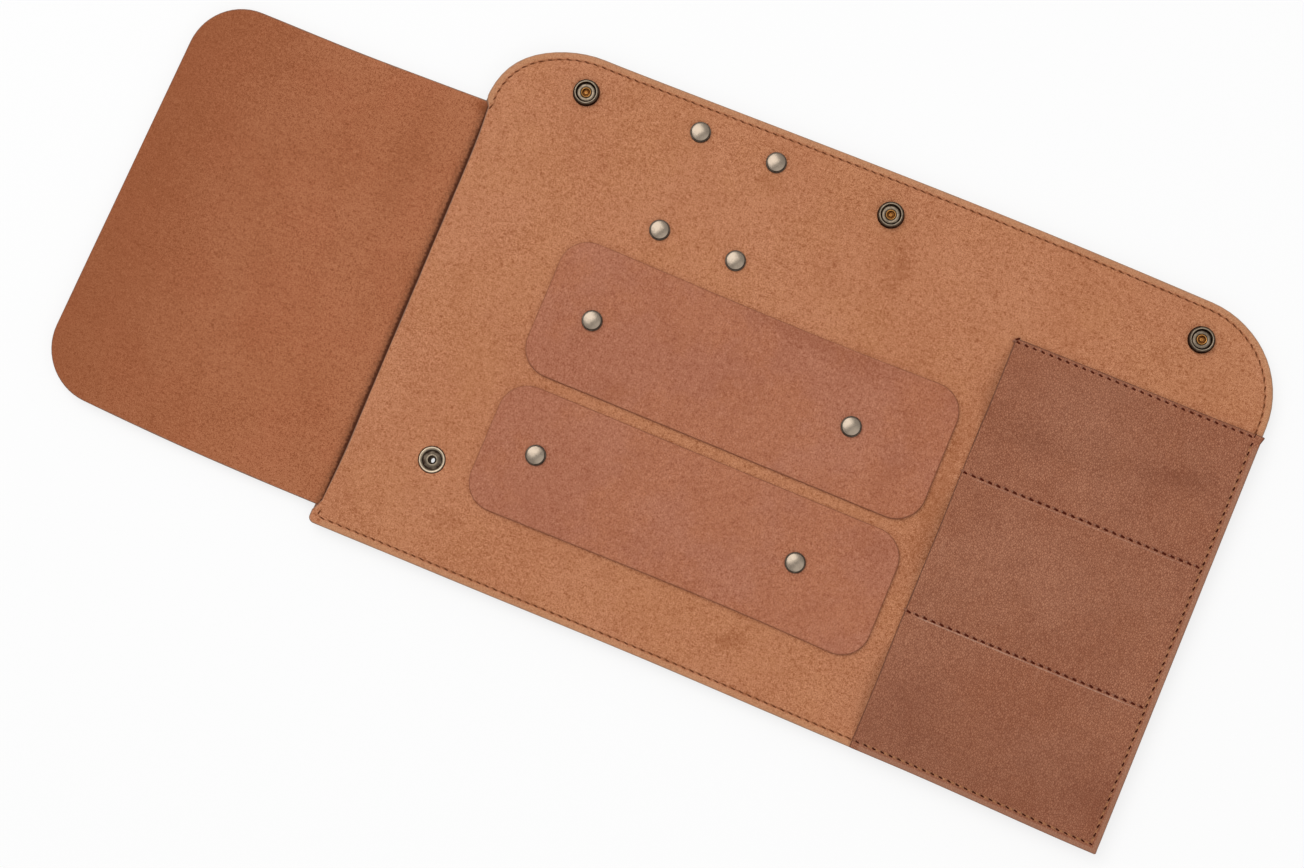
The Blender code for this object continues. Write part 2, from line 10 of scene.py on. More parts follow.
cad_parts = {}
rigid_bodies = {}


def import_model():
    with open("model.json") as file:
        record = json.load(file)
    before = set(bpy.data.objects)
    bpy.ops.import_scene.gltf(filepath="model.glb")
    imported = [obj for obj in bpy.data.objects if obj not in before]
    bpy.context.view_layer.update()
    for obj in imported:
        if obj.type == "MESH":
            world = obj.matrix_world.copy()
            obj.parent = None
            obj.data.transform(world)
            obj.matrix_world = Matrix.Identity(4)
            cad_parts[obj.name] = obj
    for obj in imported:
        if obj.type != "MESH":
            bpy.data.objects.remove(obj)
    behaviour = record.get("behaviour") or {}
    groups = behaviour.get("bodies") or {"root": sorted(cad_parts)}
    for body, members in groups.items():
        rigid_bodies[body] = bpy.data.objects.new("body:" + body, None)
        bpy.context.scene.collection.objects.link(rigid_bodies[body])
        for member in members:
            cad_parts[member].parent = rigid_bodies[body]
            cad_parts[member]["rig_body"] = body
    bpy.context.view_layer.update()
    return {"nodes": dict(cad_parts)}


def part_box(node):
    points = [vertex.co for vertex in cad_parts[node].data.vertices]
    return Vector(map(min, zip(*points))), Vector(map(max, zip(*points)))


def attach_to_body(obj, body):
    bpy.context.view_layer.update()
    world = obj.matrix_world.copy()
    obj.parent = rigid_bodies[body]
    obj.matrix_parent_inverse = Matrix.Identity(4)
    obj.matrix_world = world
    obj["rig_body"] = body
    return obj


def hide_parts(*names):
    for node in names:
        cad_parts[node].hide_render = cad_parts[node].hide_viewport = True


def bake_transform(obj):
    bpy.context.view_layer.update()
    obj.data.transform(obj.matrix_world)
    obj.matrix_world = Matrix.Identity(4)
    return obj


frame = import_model()

MM = 0.001

# Camera, fitted to the photograph
CAMERA_PLACE = (99.641 * MM, -95.490 * MM, 1200.0 * MM)
CAMERA_RIGHT = (0.92206, 0.38405, -0.04797)
CAMERA_UP = (-0.37968, 0.92162, 0.08043)
CAMERA_BACK = (0.07510, -0.05594, 0.99561)
CAMERA_LENS = 69.74
CAMERA_SENSOR = 36

# Angles past which an edge is shaded sharp
LEATHER_SHARP = radians(38)
THREAD_SHARP = radians(60)
METAL_SHARP = radians(50)

# Leather edges and rows
EDGE_ROUND = 0.55 * MM
SOFT_ROUND = 0.7 * MM
EDGE_RINGS = (0, 0.1 * MM, 0.28 * MM, 0.6 * MM)
ROW_INSET = 3.8 * MM
ROW_RINGS = (3.1 * MM, 3.8 * MM, 4.5 * MM)
ROW_DEPTH = 0.28 * MM
ROW_WIDTH = 0.5 * MM
OUTLINE_STEP = 3 * MM
ARC_STEP = radians(6)
CIRCLE_STEPS = 28
LEAST_RADIUS = 0.2 * MM
SHEET_GAP = 0.02 * MM
MERGE_DISTANCE = 1e-7
LEAST_AREA = 1e-13

# Panel
PANEL_TOP_RADIUS = 45 * MM
PANEL_LEFT_RADIUS = 3 * MM
PANEL_RIGHT_RADIUS = 1 * MM
PANEL_SPACING = 6 * MM
FOLD_STEPS = 26
LOWER_ZONE = (-3.0 * MM, 5.0 * MM)
UPPER_ZONE = (-9.5 * MM, 6.6 * MM)
SETBACK = 2.5 * MM
SETBACK_FADE = 14 * MM
SETBACK_RAMP = 3 * MM
SETBACK_START = 1.5 * MM
SWELL = 0.22 * MM
SWELL_FADE = 12 * MM
SKIVE = 0.45 * MM
SKIVE_WIDTH = 5 * MM
ROOT_CLEAR = 8 * MM
ROOT_STOP = 3.5 * MM
TOP_BOW = 2.1 * MM
LOW_CORNER_DROP = 1.8 * MM
LOW_LEFT_DROP = 0.2 * MM
LOW_MIDDLE_RISE = 0.8 * MM
LOW_FADE = 42 * MM
LEFT_DRIFT = 1.4 * MM
CORNER_PUSH = 3.1 * MM
CORNER_PUSH_SPREAD = 24 * MM
CORNER_PUSH_PLACE = (9 * MM, 22 * MM)

# Side flap
FLAP_RADIUS = 27 * MM
FLAP_TUCK = 3.0 * MM
FLAP_ZONE = 14 * MM
FLAP_BULGE = 0.45 * MM
FLAP_BULGE_PLACE = 4 * MM
TUCK_START = 3 * MM
TUCK_WIDTH = 5 * MM
TUCK_TOP = 0.25 * MM
TUCK_BOTTOM = 1.25 * MM
FLAP_SPACING = 6 * MM
FLAP_ROOT_STEPS = 20
FLAP_REACH_LOW_MORE = 1.0 * MM
FLAP_REACH_HIGH_MORE = 2.2 * MM
FLAP_TIP_RISE = 2.0 * MM
FLAP_LOW_DROP = 1.5 * MM
FLAP_WAVE_FADE = 20 * MM
# Corners, out from the panel's left side and up from its low one
FLAP_LOW_CORNER = (151.2 * MM, 12.7 * MM)
FLAP_HIGH_CORNER = (143.4 * MM, 215.5 * MM)
FLAP_ROOT_RADIUS = 0.5 * MM
FLAP_ROOT_DROP = 0.1 * MM

# Pockets
POCKET_SPACING_X = 4 * MM
POCKET_SPACING_Y = 2.2 * MM
POCKET_CORNER = 0.8 * MM
POCKET_NUB = 1.1 * MM
POCKET_NUB_WIDTH = 1.7 * MM
POCKET_CLIMB = 1.6 * MM
POCKET_CLIMB_START = 22 * MM
POCKET_CLIMB_FADE = 20 * MM
POCKET_SHUT = 6 * MM
POCKET_TAPER = 60 * MM
POCKET_SINK = 0.1 * MM
SEAM_DIP = 0.35 * MM
SEAM_WIDTH = 0.8 * MM
SEAM_ROW_STEP = 0.4 * MM
SEAM_ROWS = range(-4, 7)
TOP_ROW_INSET = 1.6 * MM

# Patches, straps and badge plate
PATCH_RADIUS = 14.5 * MM
PATCH_SPACING = 4 * MM
PATCH_SAG = 1.3 * MM
PATCH_SAG_FADE = 30 * MM
PATCH_SINK = 0.25 * MM
STRAP_CORNER = 4 * MM
BADGE_CORNER = 6 * MM
CREASE_INSET = 2 * MM
CREASE_DEPTH = 0.25 * MM
CREASE_WIDTH = 0.45 * MM
CAP_DIP = 0.35 * MM
CAP_DIP_RADIUS = 8 * MM

# Thread
STITCH_PITCH = 4.2 * MM
STITCH_LENGTH = 4.1 * MM
STITCH_RADIUS = 0.32 * MM
SEAM_LENGTH = 4.4 * MM
SEAM_RADIUS = 0.5 * MM
SEAM_OVERSHOOT = 0.8 * MM
SEAM_STOP = 0.5 * MM
TACK_SHIFT = 0.9 * MM
TACK_SLANT = radians(58)
STITCH_SLANT = radians(-13)
STITCH_SIDES = 7
STITCH_STEPS = 8
BORE_RADIUS = 2.3 * MM
FLANGE_RADIUS = 6.6 * MM

# Turned metal
TURN_STEPS = 56
DOME_STEPS = 12
EDGE_TINT = (0.45, 0.38, 0.32, 1)
CAP_HEIGHT = 2.3 * MM
POST_RISE = 0.35 * MM
EYELET_FOOT = 0.9 * MM

# Studio
FLOOR_WHITE = 0.75
FLOOR_GREY = (0.86, 0.86, 0.86, 1)
FLOOR_DROP = 0.2 * MM
WORLD_STRENGTH = 0.5


# Places taken from the frame
def union_box(*starts):
    # Around all nodes whose names start with one of these
    boxes = [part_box(name) for name in frame["nodes"] if name.startswith(starts)]
    low = Vector([min(box[0][axis] for box in boxes) for axis in range(3)])
    high = Vector([max(box[1][axis] for box in boxes) for axis in range(3)])
    return low, high


def starting(prefix):
    return sorted(name for name in frame["nodes"] if name.startswith(prefix))


def centre_of(node):
    low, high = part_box(node)
    return (low + high) / 2


BANDS = ("lower", "lower_bend", "middle", "upper_bend", "upper")
PANEL_LOW, PANEL_HIGH = union_box("shell_")
SHELL_BOTTOM = PANEL_LOW.z
SHELL_TOP = PANEL_HIGH.z
LINING_TOP = union_box("lining_")[1].z
FLAP_LOW, FLAP_HIGH = union_box("flap_")
POCKET_LOW, POCKET_HIGH = union_box("pocket_")
FLAP_ROOT_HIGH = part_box("flap_upper")[1].y
LOWER_FOLD = centre_of("shell_lower_bend").y
UPPER_FOLD = centre_of("shell_upper_bend").y
CUTS = [(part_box("shell_" + first)[1].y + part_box("shell_" + second)[0].y) / 2
        for first, second in zip(BANDS, BANDS[1:])]
LOWER_SEAM = centre_of("lower_pocket_seam").y
UPPER_SEAM = centre_of("upper_pocket_seam").y
TOP_ROW = POCKET_HIGH.y - TOP_ROW_INSET
# How far each row lies above its level at the pocket's mouth, and what it climbs from there
ROW_CLIMBS = {LOWER_SEAM: (-0.45 * MM, 0.45 * MM), UPPER_SEAM: (0.6 * MM, 0.7 * MM), TOP_ROW: (0, 0)}
# Where each pocket's dome starts and ends
DOMES = ((POCKET_LOW.y + 5 * MM, LOWER_FOLD - 4 * MM), (LOWER_SEAM + 1.5 * MM, UPPER_SEAM - 1.5 * MM),
         (UPPER_FOLD + 6 * MM, TOP_ROW - 2 * MM))
PATCH_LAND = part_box("lower_patch_middle")[1].z
PATCH_LOW, PATCH_HIGH = union_box("lower_patch_", "upper_patch_")
EYELETS = [centre_of(node) for node in starting("stud_eyelet_")]
SOCKETS = [centre_of(node) for node in starting("snap_socket_")]
HANDLE_CAPS = [centre_of(node) for node in starting("handle_rivet_cap_")]

FAR = 1.0
PARTS = ("lower", "lower_fold", "middle", "upper_fold", "upper")
FOLD_PARTS = ("lower_fold", "upper_fold")
FOLD_LEVELS = [fold + edge for fold, zone in ((LOWER_FOLD, LOWER_ZONE), (UPPER_FOLD, UPPER_ZONE))
               for edge in zone]
PANEL_PARTS = dict(zip(PARTS, zip([-FAR] + FOLD_LEVELS, FOLD_LEVELS + [FAR])))
FLAP_PARTS = dict(zip(BANDS, zip([-FAR] + CUTS, CUTS + [FAR])))
NODE_OF_PART = dict(zip(PARTS, BANDS))


# Outlines
def towards(start, end):
    return (Vector(end) - Vector(start)).normalized()


def corner_arc(before, corner, after, radius):
    towards_before = towards(corner, before)
    towards_after = towards(corner, after)
    half_angle = towards_before.angle(towards_after) / 2
    inward = (towards_before + towards_after).normalized()
    centre = Vector(corner) + inward * radius / sin(half_angle)
    first = Vector(corner) + towards_before * radius * cos(half_angle) / sin(half_angle) - centre
    sweep = pi - 2 * half_angle
    steps = max(4, round(sweep / ARC_STEP))
    arc = [Matrix.Rotation(sweep * step / steps, 2) @ first for step in range(steps + 1)]
    return [tuple(centre + spot) for spot in arc]


def inset_corners(corners, inset):
    moved = []
    for index, (x, y, radius) in enumerate(corners):
        corner = Vector((x, y))
        before = towards(corners[index - 1][:2], corner)
        after = towards(corner, corners[(index + 1) % len(corners)][:2])
        normal_before = Vector((-before.y, before.x))
        normal_after = Vector((-after.y, after.x))
        both = normal_before + normal_after
        spot = corner + both * inset / (1 + normal_before.dot(normal_after))
        moved.append((spot.x, spot.y, max(radius - inset, LEAST_RADIUS)))
    return moved


def filled_in(loop, step):
    dense = []
    for index, point in enumerate(loop):
        ahead = loop[(index + 1) % len(loop)]
        gap = (Vector(ahead) - Vector(point)).length
        pieces = max(1, round(gap / step))
        dense += [tuple(Vector(point).lerp(Vector(ahead), part / pieces)) for part in range(pieces)]
    return dense


def outline_loop(corners, inset=0):
    # Corners are (x, y, radius), anticlockwise.
    corners = inset_corners(corners, inset)
    loop = []
    for index, (x, y, radius) in enumerate(corners):
        before = corners[index - 1][:2]
        after = corners[(index + 1) % len(corners)][:2]
        loop += corner_arc(before, (x, y), after, radius)
    return filled_in(loop, OUTLINE_STEP)


def rectangle_corners(low, high, radius):
    return [(low.x, low.y, radius), (high.x, low.y, radius),
            (high.x, high.y, radius), (low.x, high.y, radius)]


def circle_loop(place, radius, steps=CIRCLE_STEPS):
    return [(place[0] + radius * cos(tau * step / steps),
             place[1] + radius * sin(tau * step / steps)) for step in range(steps)]


# Sheets: one flat layout of triangles, cut along straight lines, and given heights
def inner_distance(points, loop):
    # The distance inside a convex loop, negative outside it
    start = np.array(loop)
    ahead = np.roll(start, -1, axis=0) - start
    ahead /= np.linalg.norm(ahead, axis=1)[:, None]
    normal = np.stack([-ahead[:, 1], ahead[:, 0]], axis=1)
    offset = (start * normal).sum(axis=1)
    return (points @ normal.T - offset).min(axis=1)


def spread(low, high, step):
    count = max(2, round((high - low) / step) + 1)
    return list(np.linspace(low, high, count))


def closed_edges(start, count):
    return [(start + step, start + (step + 1) % count) for step in range(count)]


class Layout:
    def __init__(self, corners, rings, columns, rows, row_cuts=(), column_cuts=(), holes=()):
        self.outline = outline_loop(corners)
        self.holes = holes
        levels = [y for _, y in self.outline]
        row_cuts = [level for level in row_cuts if min(levels) < level < max(levels)]
        self.points = []
        self.edges = []
        for inset in rings:
            self.add_loop(outline_loop(corners, inset))
        for place, radius in holes:
            for inset in EDGE_RINGS:
                self.add_loop(circle_loop(place, radius + inset))
        for level in row_cuts:
            self.add_line([(x, level) for x in columns])
        for level in column_cuts:
            self.add_line([(level, y) for y in rows])
        self.add_grid(columns, rows, rings[-1], row_cuts, column_cuts)
        self.solve()

    def add_loop(self, loop):
        self.edges += closed_edges(len(self.points), len(loop))
        self.points += loop

    def add_line(self, line):
        self.edges += closed_edges(len(self.points), len(line))[:-1]
        self.points += line

    def add_grid(self, columns, rows, last_ring, row_cuts, column_cuts):
        near = 0.2 * MM
        xs = [x for x in columns if all(abs(x - cut) > near for cut in column_cuts)]
        ys = [y for y in rows if all(abs(y - cut) > near for cut in row_cuts)]
        grid = np.array([(x, y) for x in xs for y in ys])
        clear = self.distance(grid) > last_ring + near
        self.points += [tuple(point) for point in grid[clear]]

    def distance(self, points):
        found = inner_distance(points, self.outline)
        for place, radius in self.holes:
            away = np.hypot(points[:, 0] - place[0], points[:, 1] - place[1]) - radius
            found = np.minimum(found, away)
        return found

    def solve(self):
        spots = [Vector(point) for point in self.points]
        result = delaunay_2d_cdt(spots, self.edges, [], 0, MERGE_DISTANCE)
        self.xy = np.array([tuple(spot) for spot in result[0]])
        triangles = np.array(result[2])
        middles = self.xy[triangles].mean(axis=1)
        triangles = triangles[self.distance(middles) > 0]
        first, second, third = (self.xy[triangles[:, corner]] for corner in range(3))
        area = np.cross(second - first, third - first)
        triangles[area < 0] = triangles[area < 0][:, ::-1]
        self.triangles = triangles[abs(area) > LEAST_AREA]
        self.middles = self.xy[self.triangles].mean(axis=1)
        self.edge = np.maximum(self.distance(self.xy), 0)
        self.rim = np.maximum(inner_distance(self.xy, self.outline), 0)


def boundary_edges(triangles):
    directed = {(a, b) for tri in triangles for a, b in zip(tri, np.roll(tri, -1))}
    return [(a, b) for a, b in directed if (b, a) not in directed]


def in_scene(name, data):
    made = bpy.data.objects.new(name, data)
    bpy.context.scene.collection.objects.link(made)
    return made


def new_piece(name, points, faces, edge, look, sharp=LEATHER_SHARP):
    mesh = bpy.data.meshes.new(name)
    mesh.from_pydata([tuple(point) for point in points], [], faces)
    rest = mesh.attributes.new("rest", "FLOAT_VECTOR", "POINT")
    rest.data.foreach_set("vector", np.asarray(points, np.float32).ravel())
    distance = mesh.attributes.new("edge", "FLOAT", "POINT")
    distance.data.foreach_set("value", np.asarray(edge, np.float32))
    mesh.shade_smooth()
    mesh.set_sharp_from_angle(angle=sharp)
    mesh.materials.append(LOOKS[look])
    return in_scene(name, mesh)


def plate(name, layout, chosen, heights, look):
    used, triangles = np.unique(layout.triangles[chosen], return_inverse=True)
    triangles = triangles.reshape(-1, 3)
    count = len(used)
    edge = layout.edge[used]
    top, bottom, x, y = heights(layout.xy[used, 0], layout.xy[used, 1], edge)
    points = np.concatenate([np.stack([x, y, top], axis=1), np.stack([x, y, bottom], axis=1)])
    faces = [tuple(tri) for tri in triangles.tolist()]
    faces += [tuple(index + count for index in tri[::-1]) for tri in triangles.tolist()]
    for a, b in boundary_edges(triangles):
        faces.append((int(b), int(a), int(a) + count, int(b) + count))
    return new_piece(name, points, faces, np.tile(layout.rim[used], 2), look)


def attach(piece, part):
    if part == "lower_fold":
        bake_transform(piece)
    elif part == "upper_fold":
        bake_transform(piece)
    else:
        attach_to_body(piece, part)


def panel_plates(name, layout, heights, look):
    for part, (low, high) in PANEL_PARTS.items():
        chosen = (layout.middles[:, 1] > low) & (layout.middles[:, 1] < high)
        if not chosen.any():
            continue
        piece = plate("look_" + name + "_" + part, layout, chosen, heights, look)
        node = name + "_" + NODE_OF_PART[part]
        if node in frame["nodes"]:
            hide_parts(node)
        attach(piece, part)


def panel_rows(low, high, step):
    rows = []
    for part, (start, end) in PANEL_PARTS.items():
        start = max(start, low)
        end = min(end, high)
        if start < end:
            rows += spread(start, end, (end - start) / FOLD_STEPS if part in FOLD_PARTS else step)
    return sorted(set(rows))


# The real sheets are cut by hand: their edges bow a little beside the CAD's straight ones.
def panel_drift(x, y):
    along = share_of(x, PANEL_LOW.x, PANEL_HIGH.x)
    up = smooth(share_of(y, PANEL_LOW.y, PANEL_HIGH.y))
    low = smooth((PANEL_LOW.y + LOW_FADE - y) / LOW_FADE)
    top_share = np.clip((along - 0.11) / 0.83, 0, 1) ** 1.3
    top_bow = TOP_BOW * np.sin(pi * top_share) * up ** 3
    low_bow = -LOW_CORNER_DROP * smooth((along - 0.74) / 0.26) - LOW_LEFT_DROP * smooth(1 - along / 0.12)
    low_bow = low * (low_bow + LOW_MIDDLE_RISE * bell(along - 0.42, 0.18))
    corner = np.hypot(x - PANEL_LOW.x - CORNER_PUSH_PLACE[0], y - PANEL_HIGH.y + CORNER_PUSH_PLACE[1])
    push = CORNER_PUSH * bell(corner, CORNER_PUSH_SPREAD)
    aside = push + LEFT_DRIFT * low * smooth(1 - along / 0.06)
    return x - aside, y + top_bow + low_bow + 0.6 * push


def flap_drift(x, y):
    out = np.clip((PANEL_LOW.x - x) / (PANEL_LOW.x - FLAP_LOW.x), 0, 1)
    up = np.clip(share_of(y, FLAP_LOW.y, FLAP_HIGH.y), 0, 1)
    reach = out ** 3 * (FLAP_REACH_LOW_MORE * (1 - up) + FLAP_REACH_HIGH_MORE * up)
    rise = FLAP_TIP_RISE * smooth((out - 0.35) / 0.65) * up ** 3
    drop = FLAP_LOW_DROP * np.sin(pi * out) * (1 - up) ** 3
    return x - reach, y + rise - drop


# Heights
def share_of(value, low, high):
    return (value - low) / (high - low)


def eased(edge, radius):
    share = np.clip(edge / radius, 0, 1)
    return radius * (1 - np.sqrt(1 - (1 - share) ** 2))


def bell(distance, width):
    return np.exp(-(distance / width) ** 2)


def smooth(value):
    value = np.clip(value, 0, 1)
    return value * value * (3 - 2 * value)


def swell(x, y):
    # Slow, low waves of leather that has been rolled up
    return SWELL * (0.5 * np.sin(38 * x + 9 * y + 0.6) * np.cos(27 * y - 7 * x)
                    + 0.3 * np.sin(71 * x - 33 * y + 2) + 0.2 * np.sin(96 * y + 21 * x))


def shell_heights(x, y, edge):
    groove = ROW_DEPTH * bell(edge - ROW_INSET, ROW_WIDTH)
    skive = SKIVE * smooth(1 - (x - PANEL_LOW.x) / SKIVE_WIDTH) * flap_side(y)
    top = SHELL_TOP - eased(edge, EDGE_ROUND) - skive
    bottom = SHELL_BOTTOM + eased(edge, EDGE_ROUND) + groove
    return top, bottom, *panel_drift(x, y)


def flap_side(y):
    # One along the flap's root, nought past its ends
    low = smooth((y - FLAP_LOW.y + SETBACK_START) / SETBACK_RAMP)
    high = smooth((FLAP_ROOT_HIGH - y) / SETBACK_RAMP)
    return low * high


def lining_heights(x, y, edge):
    groove = ROW_DEPTH * bell(edge - ROW_INSET, ROW_WIDTH)
    left = PANEL_LOW.x
    near = np.clip(1 - (x - left) / SETBACK_FADE, 0, 1)
    shifted = x + SETBACK * near * flap_side(y)
    groove *= 1 - flap_side(y) * (x - left < ROOT_CLEAR)
    rise = smooth(edge / SWELL_FADE) * swell(x, y)
    top = LINING_TOP - eased(edge, EDGE_ROUND) - groove + rise
    bottom = SHELL_TOP + SHEET_GAP + 0 * x
    return top, bottom, *panel_drift(shifted, y)


def cap_dips(x, y):
    return sum(CAP_DIP * bell(np.hypot(x - cap.x, y - cap.y), CAP_DIP_RADIUS) for cap in HANDLE_CAPS)


def patch_drift(x, y):
    # The upper patch's top edge and the lower patch's bottom edge sag inwards.
    along = share_of(x, PATCH_LOW.x, PATCH_HIGH.x)
    sag = PATCH_SAG * np.sin(pi * np.clip(along, 0, 1) ** 1.4)
    high = smooth((y - (PATCH_HIGH.y - PATCH_SAG_FADE)) / PATCH_SAG_FADE)
    low = smooth((PATCH_LOW.y + PATCH_SAG_FADE - y) / PATCH_SAG_FADE)
    return x, y - sag * high + sag * low


def patch_heights(x, y, edge):
    rise = 0.6 * swell(x, y)
    top = PATCH_LAND - eased(edge, SOFT_ROUND) + rise - cap_dips(x, y)
    bottom = LINING_TOP - PATCH_SINK + 0 * x
    return top, bottom, *patch_drift(x, y)


def pocket_dome(y, low, high):
    return np.sin(pi * np.clip(share_of(y, low, high), 0, 1)) ** 1.2


def pocket_row(level, x):
    rise, climb = ROW_CLIMBS[level]
    return level + rise + climb * share_of(x, POCKET_LOW.x, POCKET_HIGH.x)


def pocket_drift(x, y):
    # The pocket's top edge climbs a little towards the panel's side.
    along = share_of(x, POCKET_LOW.x, POCKET_HIGH.x)
    climb = POCKET_CLIMB * along * smooth((y - TOP_ROW + POCKET_CLIMB_START) / POCKET_CLIMB_FADE)
    return panel_drift(x, y + climb)


def pocket_heights(x, y, edge):
    domes = sum(pocket_dome(y, *ends) for ends in DOMES)
    closed = smooth((POCKET_HIGH.x - POCKET_SHUT - x) / POCKET_TAPER)
    lift = (POCKET_HIGH.z - PATCH_LAND) * np.clip(domes, 0, 1) * closed
    rows = sum(SEAM_DIP * bell(y - pocket_row(level, x), SEAM_WIDTH) for level in ROW_CLIMBS)
    outer = ROW_DEPTH * bell(POCKET_HIGH.x - ROW_INSET - x, ROW_WIDTH)
    outer = outer + ROW_DEPTH * bell(y - POCKET_LOW.y - ROW_INSET, ROW_WIDTH)
    top = PATCH_LAND - eased(edge, EDGE_ROUND) + lift - rows - outer
    bottom = LINING_TOP - POCKET_SINK + lift
    nub = POCKET_NUB * bell(np.hypot(POCKET_HIGH.x - x, POCKET_HIGH.y - y), POCKET_NUB_WIDTH)
    return top, bottom, *pocket_drift(x + nub, y)


def flap_heights(x, y, edge):
    out = PANEL_LOW.x - x
    bulge = FLAP_BULGE * bell(out - FLAP_BULGE_PLACE, FLAP_BULGE_PLACE)
    tuck = smooth((TUCK_START - out) / TUCK_WIDTH)
    top = FLAP_HIGH.z - eased(edge, EDGE_ROUND) + bulge + TUCK_TOP * tuck
    bottom = FLAP_LOW.z + eased(edge, EDGE_ROUND) + bulge + TUCK_BOTTOM * tuck
    wave = smooth(out / FLAP_WAVE_FADE) * swell(x, y)
    return top + wave, bottom + wave, *flap_drift(x, y)


def flat_heights(low, high):
    def heights(x, y, edge):
        groove = CREASE_DEPTH * bell(edge - CREASE_INSET, CREASE_WIDTH)
        return high - eased(edge, EDGE_ROUND) + 0 * x, low + eased(edge, SOFT_ROUND) + groove, x, y
    return heights


# Materials
def new_tree(name):
    look = bpy.data.materials.new(name)
    look.use_nodes = True
    tree = look.node_tree
    return look, tree, tree.nodes["Principled BSDF"]


def set_inputs(tree, node, inputs):
    for key, value in inputs.items():
        if isinstance(value, bpy.types.NodeSocket):
            tree.links.new(value, node.inputs[key])
        else:
            node.inputs[key].default_value = value


def add_node(tree, kind, inputs, **settings):
    made = tree.nodes.new("ShaderNode" + kind)
    for key, value in settings.items():
        setattr(made, key, value)
    set_inputs(tree, made, inputs)
    return made


def colour(red, green, blue):
    # From the 0 to 255 of a picture to linear light
    def linear(value):
        share = value / 255
        return share / 12.92 if share <= 0.04045 else ((share + 0.055) / 1.055) ** 2.4
    return (linear(red), linear(green), linear(blue), 1)


def attribute(tree, name, output):
    return add_node(tree, "Attribute", {}, attribute_name=name).outputs[output]


def rest_place(tree, stretch=None, turn=0):
    place = attribute(tree, "rest", "Vector")
    if stretch is None:
        return place
    inputs = {"Vector": place, "Scale": stretch, "Rotation": (0, 0, turn)}
    return add_node(tree, "Mapping", inputs).outputs["Vector"]


def edge_distance(tree):
    return attribute(tree, "edge", "Fac")


# These make their node in the tree of the first socket that goes into it.
def noise(place, scale, detail=4, roughness=0.55, distortion=0):
    inputs = {"Vector": place, "Scale": scale, "Detail": detail, "Roughness": roughness,
              "Distortion": distortion}
    return add_node(place.id_data, "TexNoise", inputs).outputs["Fac"]


def cells(place, scale):
    inputs = {"Vector": place, "Scale": scale}
    made = add_node(place.id_data, "TexVoronoi", inputs, feature="DISTANCE_TO_EDGE")
    return made.outputs["Distance"]


def ramp(value, low, high, start=0.0, end=1.0):
    inputs = {"Value": value, "From Min": low, "From Max": high, "To Min": start, "To Max": end}
    made = add_node(value.id_data, "MapRange", inputs, interpolation_type="SMOOTHSTEP")
    return made.outputs["Result"]


def sums(operation, first, second):
    return add_node(first.id_data, "Math", {0: first, 1: second}, operation=operation).outputs[0]


def vectors(operation, *values):
    inputs = dict(enumerate(values))
    return add_node(values[0].id_data, "VectorMath", inputs, operation=operation).outputs


def mixed(share, first, second):
    inputs = {0: share, 6: first, 7: second}
    return add_node(share.id_data, "Mix", inputs, data_type="RGBA").outputs[2]


def bump(height, strength, distance, before=None):
    inputs = {"Height": height, "Strength": strength, "Distance": distance}
    if before is not None:
        inputs["Normal"] = before
    return add_node(height.id_data, "Bump", inputs).outputs["Normal"]


def leather(name, tones, grain, contrast, relief, rim, rim_width, rough, pebble=0, stains_and_shades=(), cloud=0.5,
            hue_share=0.3, pebble_share=0.3, scratch=0):
    pale, main, deep, hue = tones
    look, tree, shader = new_tree(name)
    place = rest_place(tree)
    clouds = noise(place, 16, 3, 0.5)
    blotches = noise(place, 70, 3, 0.6)
    fibres = noise(rest_place(tree, (1, 0.42, 1), radians(24)), grain, 3, 0.75, 0.5)
    across = noise(rest_place(tree, (0.42, 1, 1), radians(-31)), grain * 0.85, 3, 0.75, 0.5)
    nap = sums("MULTIPLY", sums("ADD", fibres, across), 0.5)
    fine = noise(place, grain * 1.7, 1, 0.5)
    tone = mixed(ramp(clouds, 0.36, 0.62, 0, cloud), main, pale)
    tone = mixed(ramp(noise(place, 26, 4, 0.6), 0.44, 0.6, 0, hue_share), tone, hue)
    tone = mixed(ramp(blotches, 0.42, 0.72, 0, 0.4 * cloud), tone, deep)
    tone = mixed(ramp(nap, 0.39, 0.49, contrast, 0), tone, deep)
    tone = mixed(ramp(nap, 0.51, 0.61, 0, contrast), tone, pale)
    tone = mixed(ramp(fine, 0.34, 0.5, contrast, 0), tone, deep)
    normal = bump(nap, 0.8, relief)
    if pebble:
        stretched = rest_place(tree, (1, 0.62, 1), radians(35))
        pebbles = cells(wobbled(stretched, 700, 0.9 * MM), pebble)
        tone = mixed(ramp(pebbles, 0, 0.16, pebble_share, 0), tone, deep)
        tone = mixed(ramp(pebbles, 0.16, 0.4, 0, 0.6 * pebble_share), tone, pale)
        normal = bump(ramp(pebbles, 0, 0.25), 0.8, 1.6 * relief, normal)
    if scratch:
        streaks = noise(rest_place(tree, (1, 0.06, 1), radians(17)), 1500, 2, 0.5, 0.4)
        tone = mixed(ramp(streaks, 0.6, 0.7, 0, scratch), tone, pale)
    # Darker ovals: stains on most sheets, painted shade on the flap
    for stain_or_shade in stains_and_shades:
        tone = mixed(soft_oval(nap, *stain_or_shade), tone, deep)
    worn = sums("ADD", edge_distance(tree), ramp(blotches, 0.3, 0.7, 0, -0.5 * rim_width))
    tone = mixed(ramp(worn, 0.1 * rim_width, rim_width, 0.8, 0), tone, rim)
    roughness = ramp(nap, 0.4, 0.6, rough - 0.08, rough + 0.07)
    set_inputs(tree, shader, {"Base Color": tone, "Roughness": roughness, "Normal": normal,
                              "Specular IOR Level": 0.2})
    return look


def wobbled(place, scale, amount):
    inputs = {"Vector": place, "Scale": scale, "Detail": 1}
    source = add_node(place.id_data, "TexNoise", inputs)
    return vectors("MULTIPLY_ADD", source.outputs["Color"], (amount, amount, amount), place)["Vector"]


